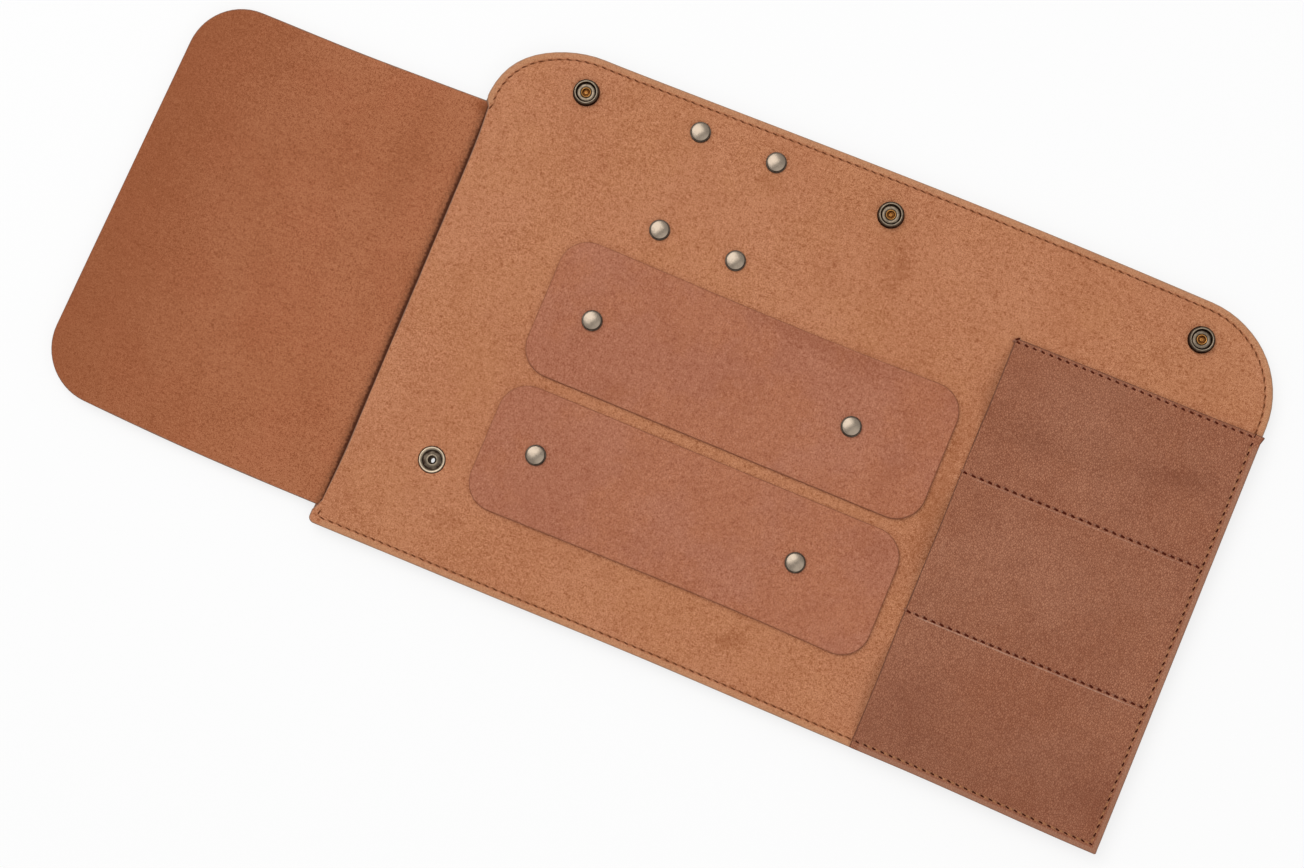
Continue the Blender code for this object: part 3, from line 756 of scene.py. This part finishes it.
def soft_oval(nap, x, y, width, height, turn, share):
    # A soft, fibrous oval of darker tone: a stain on the lining, patches and pocket, painted shade on the
    # flap
    tree = nap.id_data
    inputs = {"Vector": rest_place(tree), "Location": (PANEL_LOW.x + x * MM, PANEL_LOW.y + y * MM, 0),
              "Rotation": (0, 0, radians(turn)), "Scale": (width / 2 * MM, height / 2 * MM, 1)}
    oval = add_node(tree, "Mapping", inputs, vector_type="TEXTURE").outputs["Vector"]
    ragged = sums("ADD", vectors("LENGTH", oval)["Value"], ramp(nap, 0.38, 0.6, -0.2, 0.5))
    return ramp(ragged, 0.2, 1.1, share, 0)


def painted(tree, share, other):
    # Mixes other into the tone that a look has so far
    socket = tree.nodes["Principled BSDF"].inputs["Base Color"]
    tree.links.new(mixed(share, socket.links[0].from_socket, other), socket)


def apart(first, second):
    return sums("ABSOLUTE", sums("SUBTRACT", first, second), 0)


def axis_places(tree):
    return add_node(tree, "SeparateXYZ", {"Vector": rest_place(tree)}).outputs


def band(look, other, axis, centre, core, width, share, limits=None):
    # Mixes other in around one place on an axis, between two limits of X where they are given
    tree = LOOKS[look].node_tree
    places = axis_places(tree)
    ragged = ramp(noise(rest_place(tree), 700, 3), 0.3, 0.7, 0, 0.3 * width)
    away = sums("ADD", apart(places[axis], centre), ragged)
    found = ramp(away, core, width, share, 0)
    if limits:
        low, high = limits
        found = sums("MULTIPLY", found, ramp(places["X"], low, low + 6 * MM))
        found = sums("MULTIPLY", found, ramp(places["X"], high - 20 * MM, high, 1, 0))
    painted(tree, found, other)


def border(look, other, inset, core, width, share, after, below=FAR, also_above=FAR):
    # Mixes other in at one distance from the edge, past a place on X and below one on Y, or above another
    tree = LOOKS[look].node_tree
    places = axis_places(tree)
    x, y = places["X"], places["Y"]
    under = ramp(y, below - 3 * MM, below, 1, 0)
    wanted = sums("MULTIPLY", ramp(x, after, after + 2 * MM), under)
    wanted = sums("MAXIMUM", wanted, ramp(y, also_above, also_above + 2 * MM))
    near = ramp(apart(edge_distance(tree), inset), core, width, share, 0)
    painted(tree, sums("MULTIPLY", wanted, near), other)


def thread_look(name, dark, pale, between):
    # The edge attribute of a stitch runs from 0 at its start to 1 where it dives. The dark tone on the
    # diving half is painted shade, for the shadow where the thread goes into its hole.
    look, tree, shader = new_tree(name)
    place = rest_place(tree)
    strands = noise(rest_place(tree, (1, 2.4, 1), radians(40)), 2600, 2, 0.6)
    tone = mixed(ramp(strands, 0.4, 0.65), between, pale)
    tone = mixed(ramp(noise(place, 60), 0.4, 0.7, 0, 0.5), tone, between)
    tone = mixed(ramp(edge_distance(tree), 0.32, 0.44), tone, dark)
    set_inputs(tree, shader, {"Base Color": tone, "Normal": bump(strands, 0.6, 0.1 * MM),
                              "Roughness": ramp(strands, 0.3, 0.7, 0.65, 0.85),
                              "Specular IOR Level": 0.12})
    return look


def metal_look(name, bright, dark, low_rough, high_rough):
    # The edge attribute of turned pieces holds how worn a ring is, from 0 to 1.
    look, tree, shader = new_tree(name)
    place = rest_place(tree)
    stains = ramp(noise(place, 420, 4, 0.65), 0.3, 0.7, -0.14, 0.12)
    share = sums("ADD", edge_distance(tree), stains)
    set_inputs(tree, shader, {"Base Color": mixed(share, dark, bright), "Metallic": 1,
                              "Roughness": ramp(share, 0, 1, high_rough, low_rough),
                              "Normal": bump(noise(place, 900, 3), 0.12, 0.03 * MM),
                              "Specular Tint": EDGE_TINT})
    return look


def colours(*tones):
    return tuple(colour(*tone) for tone in tones)


# Marks are (x, y, width, height, turn, share): millimetres from the panel's low left corner, and degrees.
LINING_MARKS = (
    (205.5, 24.5, 32, 15, 28, 0.6),
    (213, 217, 18, 50, 2, 0.4),
    (60, 25, 28, 17, 10, 0.3),
    (140, 233, 60, 14, -4, 0.2),
    (345, 225, 30, 20, -20, 0.25),
    (270, 120, 14, 170, 0, 0.4),
)
# Painted shade on the flap: where its top corner goes under the lining, and along the bend near its top
# edge
FLAP_PAINTED_SHADES = (
    (-1, 215, 16, 12, 0, 0.9),
    (-25, 170, 36, 110, 0, 0.22),
)
PATCH_MARKS = (
    (190, 170, 130, 18, -3, 0.5),
    (250, 90, 30, 26, 0, 0.28),
    (110, 113, 60, 24, 6, 0.24),
    (245, 130, 28, 60, 0, 0.24),
)
POCKET_MARKS = (
    (370, 175, 60, 20, 14, 0.4),
    (300, 165, 40, 30, 0, 0.22),
    (390, 20, 50, 40, 0, 0.34),
    (296, 30, 44, 56, 0, 0.3),
)
# Tones are (pale, main, deep, hue).
LINING_TONES = colours((199, 140, 105), (183, 122, 87), (143, 82, 48), (186, 128, 86))
FLAP_TONES = colours((178, 116, 82), (166, 103, 69), (128, 67, 34), (166, 96, 65))
PATCH_TONES = colours((187, 128, 101), (172, 111, 85), (136, 74, 48), (180, 114, 76))
POCKET_TONES = colours((179, 124, 96), (160, 102, 74), (110, 56, 34), (160, 100, 68))
SHELL_TONES = colours((160, 102, 72), (146, 90, 62), (108, 62, 42), (152, 88, 56))
STRAP_TONES = colours((150, 94, 66), (136, 82, 56), (98, 56, 38), (140, 82, 50))
# Painted shadow: a dark line in the crease where the flap goes under the lining, and painted shade on the
# flap beside it
CREASE_SHADOW = colour(72, 34, 14)
CREASE_SHADE = colour(104, 60, 34)
# Painted highlight on the lower lip of the pocket seams, partly wear
LIP_HIGHLIGHT_AND_WEAR = colour(200, 166, 146)
POCKET_BORDER = colour(166, 122, 98)
POCKET_LINE = colour(176, 122, 78)
LINING_BORDER = colour(188, 146, 110)
LINING_LINE = colour(132, 80, 50)

LOOKS = {
    "shell": leather("outer_leather", SHELL_TONES, 900, 0.25, 0.08 * MM, colour(104, 80, 64), 1.1 * MM,
                     0.62, pebble=700),
    "lining": leather("flesh_side_leather", LINING_TONES, 1600, 1.0, 0.25 * MM, colour(132, 106, 90),
                      0.6 * MM, 0.88, stains_and_shades=LINING_MARKS, cloud=0.4),
    "flap": leather("flap_leather", FLAP_TONES, 1500, 0.9, 0.1 * MM, colour(122, 102, 88), 0.6 * MM, 0.84,
                    stains_and_shades=FLAP_PAINTED_SHADES, cloud=0.45),
    "patch": leather("patch_leather", PATCH_TONES, 1400, 0.85, 0.06 * MM, colour(140, 88, 64), 0.5 * MM,
                     0.76, pebble=900, stains_and_shades=PATCH_MARKS, hue_share=0.5, pebble_share=0.36, scratch=0.14),
    "pocket": leather("pocket_leather", POCKET_TONES, 1500, 0.5, 0.1 * MM, colour(100, 64, 48), 0.6 * MM,
                      0.72, pebble=1150, stains_and_shades=POCKET_MARKS, pebble_share=0.66, scratch=0.3),
    "strap": leather("strap_leather", STRAP_TONES, 800, 0.3, 0.1 * MM, colour(70, 46, 36), 1.4 * MM, 0.6,
                     pebble=700),
    # The first colour of each thread is painted shade, for the end that dives into its hole.
    "thread": thread_look("seam_thread", colour(72, 20, 2), colour(148, 106, 86), colour(136, 88, 68)),
    "pocket_thread": thread_look("pocket_edge_thread", colour(56, 14, 1), colour(152, 108, 80),
                                 colour(132, 86, 60)),
    "fine_thread": thread_look("edge_thread", colour(100, 54, 30), colour(150, 98, 64),
                               colour(124, 76, 46)),
    "rivet": metal_look("rivet_metal", colour(126, 114, 101), colour(38, 22, 14), 0.26, 0.45),
    "snap": metal_look("snap_metal", colour(144, 130, 112), colour(34, 24, 18), 0.3, 0.45),
    "post": metal_look("post_brass", colour(198, 142, 78), colour(78, 42, 14), 0.3, 0.45),
}
CREASE_PLACE = PANEL_LOW.x + 2.3 * MM
SEAM_REACH = (POCKET_LOW.x + 4 * MM, PANEL_HIGH.x)
# A pale line just below the lower and upper pocket seams: painted highlight on the seam's lower lip, partly
# wear
LIP_HIGHLIGHT_AND_WEAR_PLACES = ((LOWER_SEAM - 1.45 * MM, 0.42), (UPPER_SEAM - 0.25 * MM, 0.2))
band("flap", FLAP_TONES[2], "X", FLAP_LOW.x, 0, 130 * MM, 0.58)
# Painted shade on the flap beside the crease, then a painted shadow line in the crease itself
band("flap", CREASE_SHADE, "X", CREASE_PLACE, 2 * MM, 7 * MM, 0.6)
band("flap", CREASE_SHADOW, "X", CREASE_PLACE, 1.2 * MM, 2.8 * MM, 1)
band("pocket", POCKET_TONES[2], "Y", PANEL_LOW.y, 25 * MM, 85 * MM, 0.24)
for place, share in LIP_HIGHLIGHT_AND_WEAR_PLACES:
    band("pocket", LIP_HIGHLIGHT_AND_WEAR, "Y", place, 0, 0.6 * MM, share, SEAM_REACH)
border("pocket", POCKET_BORDER, 0, 2 * MM, 2.7 * MM, 0.5, POCKET_LOW.x + 3 * MM,
       POCKET_HIGH.y - 3 * MM)
border("pocket", POCKET_LINE, ROW_INSET, 0.25 * MM, 0.6 * MM, 0.5, POCKET_LOW.x + 5 * MM,
       TOP_ROW - MM)
border("lining", LINING_BORDER, 0, 2.5 * MM, 3.4 * MM, 0.3, PANEL_LOW.x + 4 * MM,
       also_above=FLAP_ROOT_HIGH - 2 * MM)
border("lining", LINING_LINE, ROW_INSET, 0.2 * MM, 0.55 * MM, 0.5, PANEL_LOW.x + 6 * MM,
       also_above=FLAP_ROOT_HIGH - 3 * MM)


# Leather pieces
PANEL_RINGS = EDGE_RINGS + ROW_RINGS
PANEL_CORNERS = [(PANEL_LOW.x, PANEL_LOW.y, PANEL_LEFT_RADIUS),
                 (PANEL_HIGH.x, PANEL_LOW.y, PANEL_RIGHT_RADIUS),
                 (PANEL_HIGH.x, PANEL_HIGH.y, PANEL_TOP_RADIUS),
                 (PANEL_LOW.x, PANEL_HIGH.y, PANEL_TOP_RADIUS)]
POST_HOLES = [((spot.x, spot.y), BORE_RADIUS) for spot in EYELETS]
FLANGE_HOLES = [((spot.x, spot.y), FLANGE_RADIUS) for spot in EYELETS]
PATCH_RINGS = EDGE_RINGS + (1.2 * MM,)
STRAP_RINGS = EDGE_RINGS + (CREASE_INSET - 0.5 * MM, CREASE_INSET, CREASE_INSET + 0.5 * MM)


def make_panel():
    columns = spread(PANEL_LOW.x, PANEL_HIGH.x, PANEL_SPACING)
    rows = panel_rows(PANEL_LOW.y, PANEL_HIGH.y, PANEL_SPACING)
    shell = Layout(PANEL_CORNERS, PANEL_RINGS, columns, rows, FOLD_LEVELS, (), POST_HOLES)
    panel_plates("shell", shell, shell_heights, "shell")
    lining = Layout(PANEL_CORNERS, PANEL_RINGS, columns, rows, FOLD_LEVELS, (), FLANGE_HOLES)
    panel_plates("lining", lining, lining_heights, "lining")


def make_patches():
    for name in ("lower_patch", "upper_patch"):
        low, high = union_box(name)
        columns = spread(low.x, high.x, PATCH_SPACING)
        rows = panel_rows(low.y, high.y, PATCH_SPACING)
        corners = rectangle_corners(low, high, PATCH_RADIUS)
        layout = Layout(corners, PATCH_RINGS, columns, rows, FOLD_LEVELS)
        panel_plates(name, layout, patch_heights, "patch")


def make_pockets():
    columns = spread(POCKET_LOW.x, POCKET_HIGH.x, POCKET_SPACING_X)
    rows = panel_rows(POCKET_LOW.y, POCKET_HIGH.y, POCKET_SPACING_Y)
    rows += [level + step * SEAM_ROW_STEP for level in ROW_CLIMBS for step in SEAM_ROWS]
    corners = rectangle_corners(POCKET_LOW, POCKET_HIGH, POCKET_CORNER)
    layout = Layout(corners, PANEL_RINGS, columns, sorted(rows), FOLD_LEVELS)
    panel_plates("pocket", layout, pocket_heights, "pocket")


def flap_corners():
    low_out, low_up = FLAP_LOW_CORNER
    high_out, high_up = FLAP_HIGH_CORNER
    root = PANEL_LOW.x + FLAP_TUCK
    return [(root, FLAP_LOW.y - FLAP_ROOT_DROP, FLAP_ROOT_RADIUS), (root, FLAP_ROOT_HIGH, FLAP_ROOT_RADIUS),
            (PANEL_LOW.x - high_out, PANEL_LOW.y + high_up, FLAP_RADIUS),
            (PANEL_LOW.x - low_out, PANEL_LOW.y + low_up, FLAP_RADIUS)]


def make_flap():
    split = PANEL_LOW.x - FLAP_ZONE
    columns = spread(FLAP_LOW.x, split, FLAP_SPACING)
    columns += spread(split, PANEL_LOW.x + FLAP_TUCK, FLAP_ZONE / FLAP_ROOT_STEPS)
    rows = sorted(set(spread(FLAP_LOW.y, FLAP_HIGH.y, FLAP_SPACING)) | set(CUTS))
    layout = Layout(flap_corners(), EDGE_RINGS, sorted(set(columns)), rows, CUTS, (split,))
    middles = layout.middles
    for part, (low, high) in FLAP_PARTS.items():
        chosen = (middles[:, 1] > low) & (middles[:, 1] < high)
        far = middles[:, 0] < split
        outer = plate("look_flap_" + part, layout, chosen & far, flap_heights, "flap")
        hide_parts("flap_" + part)
        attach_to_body(outer, "flap_" + part)
        root = plate("look_flap_root_" + part, layout, chosen & ~far, flap_heights, "flap")
        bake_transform(root)


def make_straps():
    for name, corner in (("lower_strap", STRAP_CORNER), ("upper_strap", STRAP_CORNER),
                         ("badge_plate", BADGE_CORNER)):
        low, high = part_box(name)
        columns = spread(low.x, high.x, PATCH_SPACING)
        rows = spread(low.y, high.y, PATCH_SPACING)
        layout = Layout(rectangle_corners(low, high, corner), STRAP_RINGS, columns, rows)
        chosen = np.ones(len(layout.triangles), bool)
        piece = plate("look_" + name, layout, chosen, flat_heights(low.z, high.z), "strap")
        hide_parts(name)
        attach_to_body(piece, frame["nodes"][name]["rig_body"])


# Stitching
def stitch_shape(length, radius):
    points = []
    faces = []
    shares = []
    for step in range(STITCH_STEPS + 1):
        share = step / STITCH_STEPS
        along = (share - 0.5) * length
        sag = -1.3 * radius * abs(2 * share - 1) ** 2.4
        girth = radius * (1 - abs(2 * share - 1) ** 5) + 0.05 * radius
        for side in range(STITCH_SIDES):
            angle = tau * side / STITCH_SIDES
            points.append((along, girth * cos(angle), sag + 0.85 * girth * sin(angle)))
            shares.append(share)
    for step in range(STITCH_STEPS):
        edges = closed_edges(step * STITCH_SIDES, STITCH_SIDES)
        faces += [(a, b, b + STITCH_SIDES, a + STITCH_SIDES) for a, b in edges]
    faces.append(tuple(range(STITCH_SIDES))[::-1])
    faces.append(tuple(STITCH_STEPS * STITCH_SIDES + side for side in range(STITCH_SIDES)))
    return points, faces, shares


def stitch_piece(name, stitches, length, radius, look, flip=False):
    # Each stitch is (x, y, z, angle).
    shape, shape_faces, shares = stitch_shape(length, radius)
    points = []
    faces = []
    for x, y, z, angle in stitches:
        start = len(points)
        turn = Matrix.Translation((x, y, z)) @ Matrix.Rotation(angle + STITCH_SLANT, 4, "Z")
        if flip:
            turn = turn @ Matrix.Rotation(pi, 4, "X")
        points += [tuple(turn @ Vector(point)) for point in shape]
        faces += [tuple(start + index for index in face) for face in shape_faces]
    return new_piece(name, points, faces, shares * len(stitches), look, THREAD_SHARP)


def walk(path, pitch):
    # Evenly spaced (x, y, angle) along a path
    route = np.array(path)
    ahead = np.diff(route, axis=0)
    reach = np.cumsum([0, *np.hypot(ahead[:, 0], ahead[:, 1])])
    count = max(1, round(reach[-1] / pitch))
    found = []
    for target in (np.arange(count) + 0.5) * reach[-1] / count:
        index = np.searchsorted(reach, target) - 1
        share = share_of(target, reach[index], reach[index + 1])
        x, y = route[index] + share * ahead[index]
        found.append((x, y, np.arctan2(ahead[index, 1], ahead[index, 0])))
    return found


def height_at(heights, x, y, edge):
    top, bottom, _, _ = heights(np.array([x]), np.array([y]), np.array([edge]))
    return float(top[0]), float(bottom[0])


def add_row(name, stitches, length, radius, look, flip=False, replaced=None):
    for part, (low, high) in PANEL_PARTS.items():
        chosen = [stitch for stitch in stitches if low < stitch[1] <= high]
        if not chosen:
            continue
        piece = stitch_piece(name + "_" + part, chosen, length, radius, look, flip)
        if replaced and frame["nodes"][replaced]["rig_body"] == part:
            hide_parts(replaced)
        attach(piece, part)


def in_pocket(x, y):
    return x > POCKET_LOW.x and y < POCKET_HIGH.y


def along_flap(x, y):
    return x < PANEL_LOW.x + ROOT_CLEAR and FLAP_LOW.y + MM < y < FLAP_ROOT_HIGH - ROOT_STOP


def inner_row_height(x, y):
    if in_pocket(x, y):
        edge = min(x - POCKET_LOW.x, POCKET_HIGH.y - y, ROW_INSET)
        return height_at(pocket_heights, x, y, edge)[0]
    return height_at(lining_heights, x, y, ROW_INSET)[0]


def drifted(x, y):
    drift = pocket_drift if in_pocket(x, y) else panel_drift
    found = drift(np.array([x]), np.array([y]))
    return float(found[0][0]), float(found[1][0])


def make_perimeter_rows():
    loop = outline_loop(PANEL_CORNERS, ROW_INSET)
    route = walk(loop + loop[:1], STITCH_PITCH)
    lift = 0.42 * STITCH_RADIUS
    inner = []
    on_pocket = []
    for x, y, angle in route:
        if not along_flap(x, y):
            row = on_pocket if in_pocket(x, y) else inner
            row.append((*drifted(x, y), inner_row_height(x, y) + lift, angle))
    add_row("edge_stitches", inner, STITCH_LENGTH, STITCH_RADIUS, "fine_thread", False, "top_stitching")
    add_row("pocket_edge_stitches", on_pocket, STITCH_LENGTH, 1.2 * STITCH_RADIUS, "pocket_thread")
    outer = [(*drifted(x, y), height_at(shell_heights, x, y, ROW_INSET)[1] - lift, angle)
             for x, y, angle in route]
    add_row("outer_stitches", outer, STITCH_LENGTH, STITCH_RADIUS, "fine_thread", True)


def make_pocket_rows():
    lift = 0.5 * SEAM_RADIUS
    for name, level, node in (("lower_pocket_row", LOWER_SEAM, "lower_pocket_seam"),
                              ("upper_pocket_row", UPPER_SEAM, "upper_pocket_seam"),
                              ("top_pocket_row", TOP_ROW, None)):
        ends = [(x, pocket_row(level, x))
                for x in (POCKET_LOW.x - SEAM_OVERSHOOT, POCKET_HIGH.x - ROW_INSET - SEAM_STOP)]
        route = walk(ends, STITCH_PITCH)
        stitches = [(*drifted(x, y), height_at(pocket_heights, x, y, ROW_INSET)[0] + lift, angle)
                    for x, y, angle in route]
        if node is None:
            x, y, z, angle = stitches[0]
            stitches.append((x - TACK_SHIFT, y + TACK_SHIFT, z, angle + TACK_SLANT))
        add_row(name, stitches, SEAM_LENGTH, SEAM_RADIUS, "thread", False, node)
        beneath = [(*drifted(x, y), SHELL_BOTTOM - 0.1 * MM, angle) for x, y, angle in route]
        add_row(name + "_outer", beneath, SEAM_LENGTH, STITCH_RADIUS, "thread", True)


# Turned metal, from rings of (radius, height above a level, how bright), in millimetres
def size_of(node):
    # Radius and height
    low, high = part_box(node)
    return (high.x - low.x) / 2 / MM, (high.z - low.z) / MM


def turned(node, level, rings, slot, look=None, name=None):
    place = centre_of(node)
    points = []
    bright = []
    faces = []
    for radius, height, worn in rings:
        loop = circle_loop(place, radius * MM, TURN_STEPS)
        points += [(x, y, level + height * MM) for x, y in loop]
        bright += [worn] * TURN_STEPS
    # A profile that starts on the axis ends there, and any other closes on itself.
    for row in range(len(rings) if rings[0][0] > 0 else len(rings) - 1):
        here = row * TURN_STEPS
        ahead = (row + 1) % len(rings) * TURN_STEPS
        faces += [(here + step, here + near, ahead + near, ahead + step)
                  for step, near in closed_edges(0, TURN_STEPS)]
    piece = new_piece(name or "look_" + node, points, faces, bright, look or slot, METAL_SHARP)
    tidy_mesh(piece)
    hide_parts(node)
    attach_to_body(piece, frame["nodes"][node]["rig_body"])


def tidy_mesh(piece):
    made = bmesh.new()
    made.from_mesh(piece.data)
    bmesh.ops.remove_doubles(made, verts=made.verts[:], dist=0.005 * MM)
    bmesh.ops.dissolve_degenerate(made, edges=made.edges[:], dist=0.004 * MM)
    bmesh.ops.recalc_face_normals(made, faces=made.faces[:])
    made.to_mesh(piece.data)
    made.free()
    piece.data.set_sharp_from_angle(angle=METAL_SHARP)


def dome_rings(radius, foot, low):
    # A post from foot up to low, a thin flange and a dome whose top is at the level
    edge = -0.6
    rings = [(0, foot, 0), (1.5, foot, 0), (1.5, low, 0), (radius * 0.94, low, 0), (radius, low + 0.25, 0),
             (radius, low + 0.9, 0), (radius - 0.15, low + 1.1, 0), (radius - 0.24, low + 1.14, 0.6),
             (radius - 0.38, low + 1.14, 0.6), (radius - 0.44, low + 1.08, 0), (radius - 0.5, low + 1.2, 0),
             (radius - 0.54, edge - 0.35, 0.2), (radius - 0.64, edge - 0.12, 0.7)]
    for step in range(DOME_STEPS + 1):
        share = 1 - step / DOME_STEPS
        rings.append(((radius - 0.85) * share, edge * share ** 2, 1))
    return rings


def base_rings(radius, high):
    # A low crown that the roll stands on
    return [(0, 0, 1), (0.45 * radius, 0, 1), (0.75 * radius, 0.12, 0.9), (0.93 * radius, 0.5, 0.7),
            (radius, 1, 0.4), (radius, high - 0.4, 0.2), (0.93 * radius, high + 0.2, 0.05),
            (0, high + 0.2, 0)]


def make_rivets():
    for kind, sink in (("handle", 0.6), ("badge", 0.5)):
        for cap in starting(kind + "_rivet_cap_"):
            radius, height = size_of(cap)
            rings = dome_rings(radius, -height, -CAP_HEIGHT / MM - sink)
            turned(cap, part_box(cap)[1].z, rings, "rivet")
            base = cap.replace("cap", "base")
            turned(base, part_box(base)[0].z, base_rings(*size_of(base)), "rivet")


def make_sockets():
    for node in starting("snap_socket_"):
        base = -size_of(node)[1] - 0.3
        rings = [(2.45, base, 0.1), (6.3, base, 0), (6.5, base + 0.4, 0), (6.4, base + 0.9, 0),
                 (6.2, -1, 0.16), (5.9, -0.45, 0.26), (5.5, -0.1, 0.26), (5.2, 0, 0.7), (4.98, -0.12, 0.95),
                 (4.85, -0.5, 0.2), (4.7, -1.5, 0), (4.3, -1.8, 0), (3.95, -1.7, 0.4), (3.3, -1.62, 0.5),
                 (2.75, -1.7, 0.35), (2.45, -1.9, 0)]
        turned(node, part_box(node)[1].z, rings, "snap")


def cap_rings(radius, low):
    return [(0, low, 1), (0.55 * radius, low + 0.12, 1), (0.82 * radius, low + 0.45, 0.85),
            (0.96 * radius, low + 1, 0.6), (radius, low + 1.5, 0.3), (radius, -0.1, 0.1),
            (0.9 * radius, 0, 0), (0, 0, 0)]


def post_rings(foot):
    return [(0, foot, 0), (2.3, foot, 0), (2.5, -0.45, 0.6), (2.42, -0.12, 1), (2.2, 0, 1),
            (1.95, -0.1, 0.8), (1.75, -0.6, 0.1), (1.6, -1.5, 0), (0.95, -1.6, 0), (0.85, -1.1, 0.25),
            (0.4, -1, 0.3), (0, -1.1, 0.1)]


def make_snap_caps():
    post_top = SOCKETS[0].z + POST_RISE
    for number, node in enumerate(starting("snap_cap_"), 1):
        low = (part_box(node)[0].z - SHELL_BOTTOM) / MM
        turned(node, SHELL_BOTTOM, cap_rings(size_of(node)[0], low), "snap")
        rings = post_rings((LINING_TOP - post_top) / MM)
        turned(node, post_top, rings, "snap", "post", f"look_snap_post_{number}")


def eyelet_rings(foot, shell):
    floor = -0.95
    return [(1.3, foot, 0.4), (1.95, foot, 0.4), (2, shell, 0.1), (6.1, shell, 0.1),
            (6.35, shell + 0.3, 0.3), (6.35, -0.3, 0.7), (6.15, 0.1, 0.9), (5.7, 0.2, 1), (5.2, 0, 0.7),
            (4.75, -0.4, 0.5), (4.5, floor, 0), (3.4, floor - 0.1, 0.25), (2.9, floor + 0.2, 0.5),
            (2.5, floor + 0.5, 0.7), (2.15, floor + 0.45, 0.45), (1.85, floor, 0), (1.3, floor - 0.3, 0.1)]


def stud_rings(radius, low):
    return [(1.3, 0, 0.4), (radius, 0, 0.1), (radius, -0.5, 0.4), (radius - 0.5, -0.8, 0.6),
            (3.1, -0.95, 0.3), (2.75, -1.6, 0.2), (2.75, -2.9, 0.3), (3.1, -3.6, 0.8),
            (2.95, low + 0.6, 0.9), (2.5, low + 0.1, 1), (2.2, low, 1), (1.9, low + 0.3, 0.7),
            (1.75, low + 1.3, 0.2), (1.3, low + 1.4, 0.4)]


def make_studs():
    for number, eyelet in enumerate(starting("stud_eyelet_"), 1):
        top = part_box(eyelet)[1].z
        rings = eyelet_rings((EYELET_FOOT - top) / MM, (SHELL_TOP - top) / MM)
        turned(eyelet, top, rings, "snap")
        stud = f"snap_stud_{number}"
        rings = stud_rings(size_of(stud)[0], (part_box(stud)[0].z - SHELL_BOTTOM) / MM)
        turned(stud, SHELL_BOTTOM, rings, "snap")


# Stage, light and camera
def seen_directly(tree):
    # One for camera, glossy and transmission rays
    path = add_node(tree, "LightPath", {})
    glossy = sums("MAXIMUM", path.outputs["Is Glossy Ray"], path.outputs["Is Transmission Ray"])
    return sums("MAXIMUM", path.outputs["Is Camera Ray"], glossy)


def make_floor():
    bpy.ops.mesh.primitive_plane_add(size=6)
    floor = bpy.context.object
    floor.name = "studio_floor"
    floor.location.z = -FLOOR_DROP
    look, tree, shader = new_tree("studio_floor_white")
    set_inputs(tree, shader, {"Base Color": FLOOR_GREY, "Roughness": 0.9})
    white = add_node(tree, "Emission", {"Color": (1, 1, 1, 1), "Strength": 1.0})
    share = sums("MULTIPLY", seen_directly(tree), FLOOR_WHITE)
    both = add_node(tree, "MixShader", {0: share, 1: shader.outputs["BSDF"], 2: white.outputs["Emission"]})
    set_inputs(tree, tree.nodes["Material Output"], {"Surface": both.outputs["Shader"]})
    floor.data.materials.append(look)


def make_world():
    world = bpy.data.worlds.new("studio_world")
    world.use_nodes = True
    bpy.context.scene.world = world
    tree = world.node_tree
    strength = ramp(seen_directly(tree), 0, 1, WORLD_STRENGTH, 1)
    set_inputs(tree, tree.nodes["Background"], {"Color": (1, 1, 1, 1), "Strength": strength})


def add_lamp(name, place, size, power):
    lamp = bpy.data.lights.new(name, "AREA")
    lamp.size = size
    lamp.energy = power
    made = in_scene(name, lamp)
    made.location = place
    made.rotation_euler = (-Vector(place)).to_track_quat("-Z", "Y").to_euler()


def make_camera():
    data = bpy.data.cameras.new("camera")
    data.lens = CAMERA_LENS
    data.sensor_width = CAMERA_SENSOR
    data.sensor_fit = "HORIZONTAL"
    camera = in_scene("camera", data)
    turn = Matrix((CAMERA_RIGHT, CAMERA_UP, CAMERA_BACK)).transposed()
    camera.matrix_world = Matrix.Translation(CAMERA_PLACE) @ turn.to_4x4()
    bpy.context.scene.camera = camera


bpy.context.scene.view_settings.view_transform = "Standard"
make_panel()
make_patches()
make_pockets()
make_flap()
make_straps()
make_perimeter_rows()
make_pocket_rows()
make_rivets()
make_sockets()
make_snap_caps()
make_studs()
make_floor()
make_world()
add_lamp("key_light", (-0.94, 0.63, 2.25), 1.9, 37)
add_lamp("fill_light", (0.9, -0.5, 1.6), 1.6, 7)
make_camera()
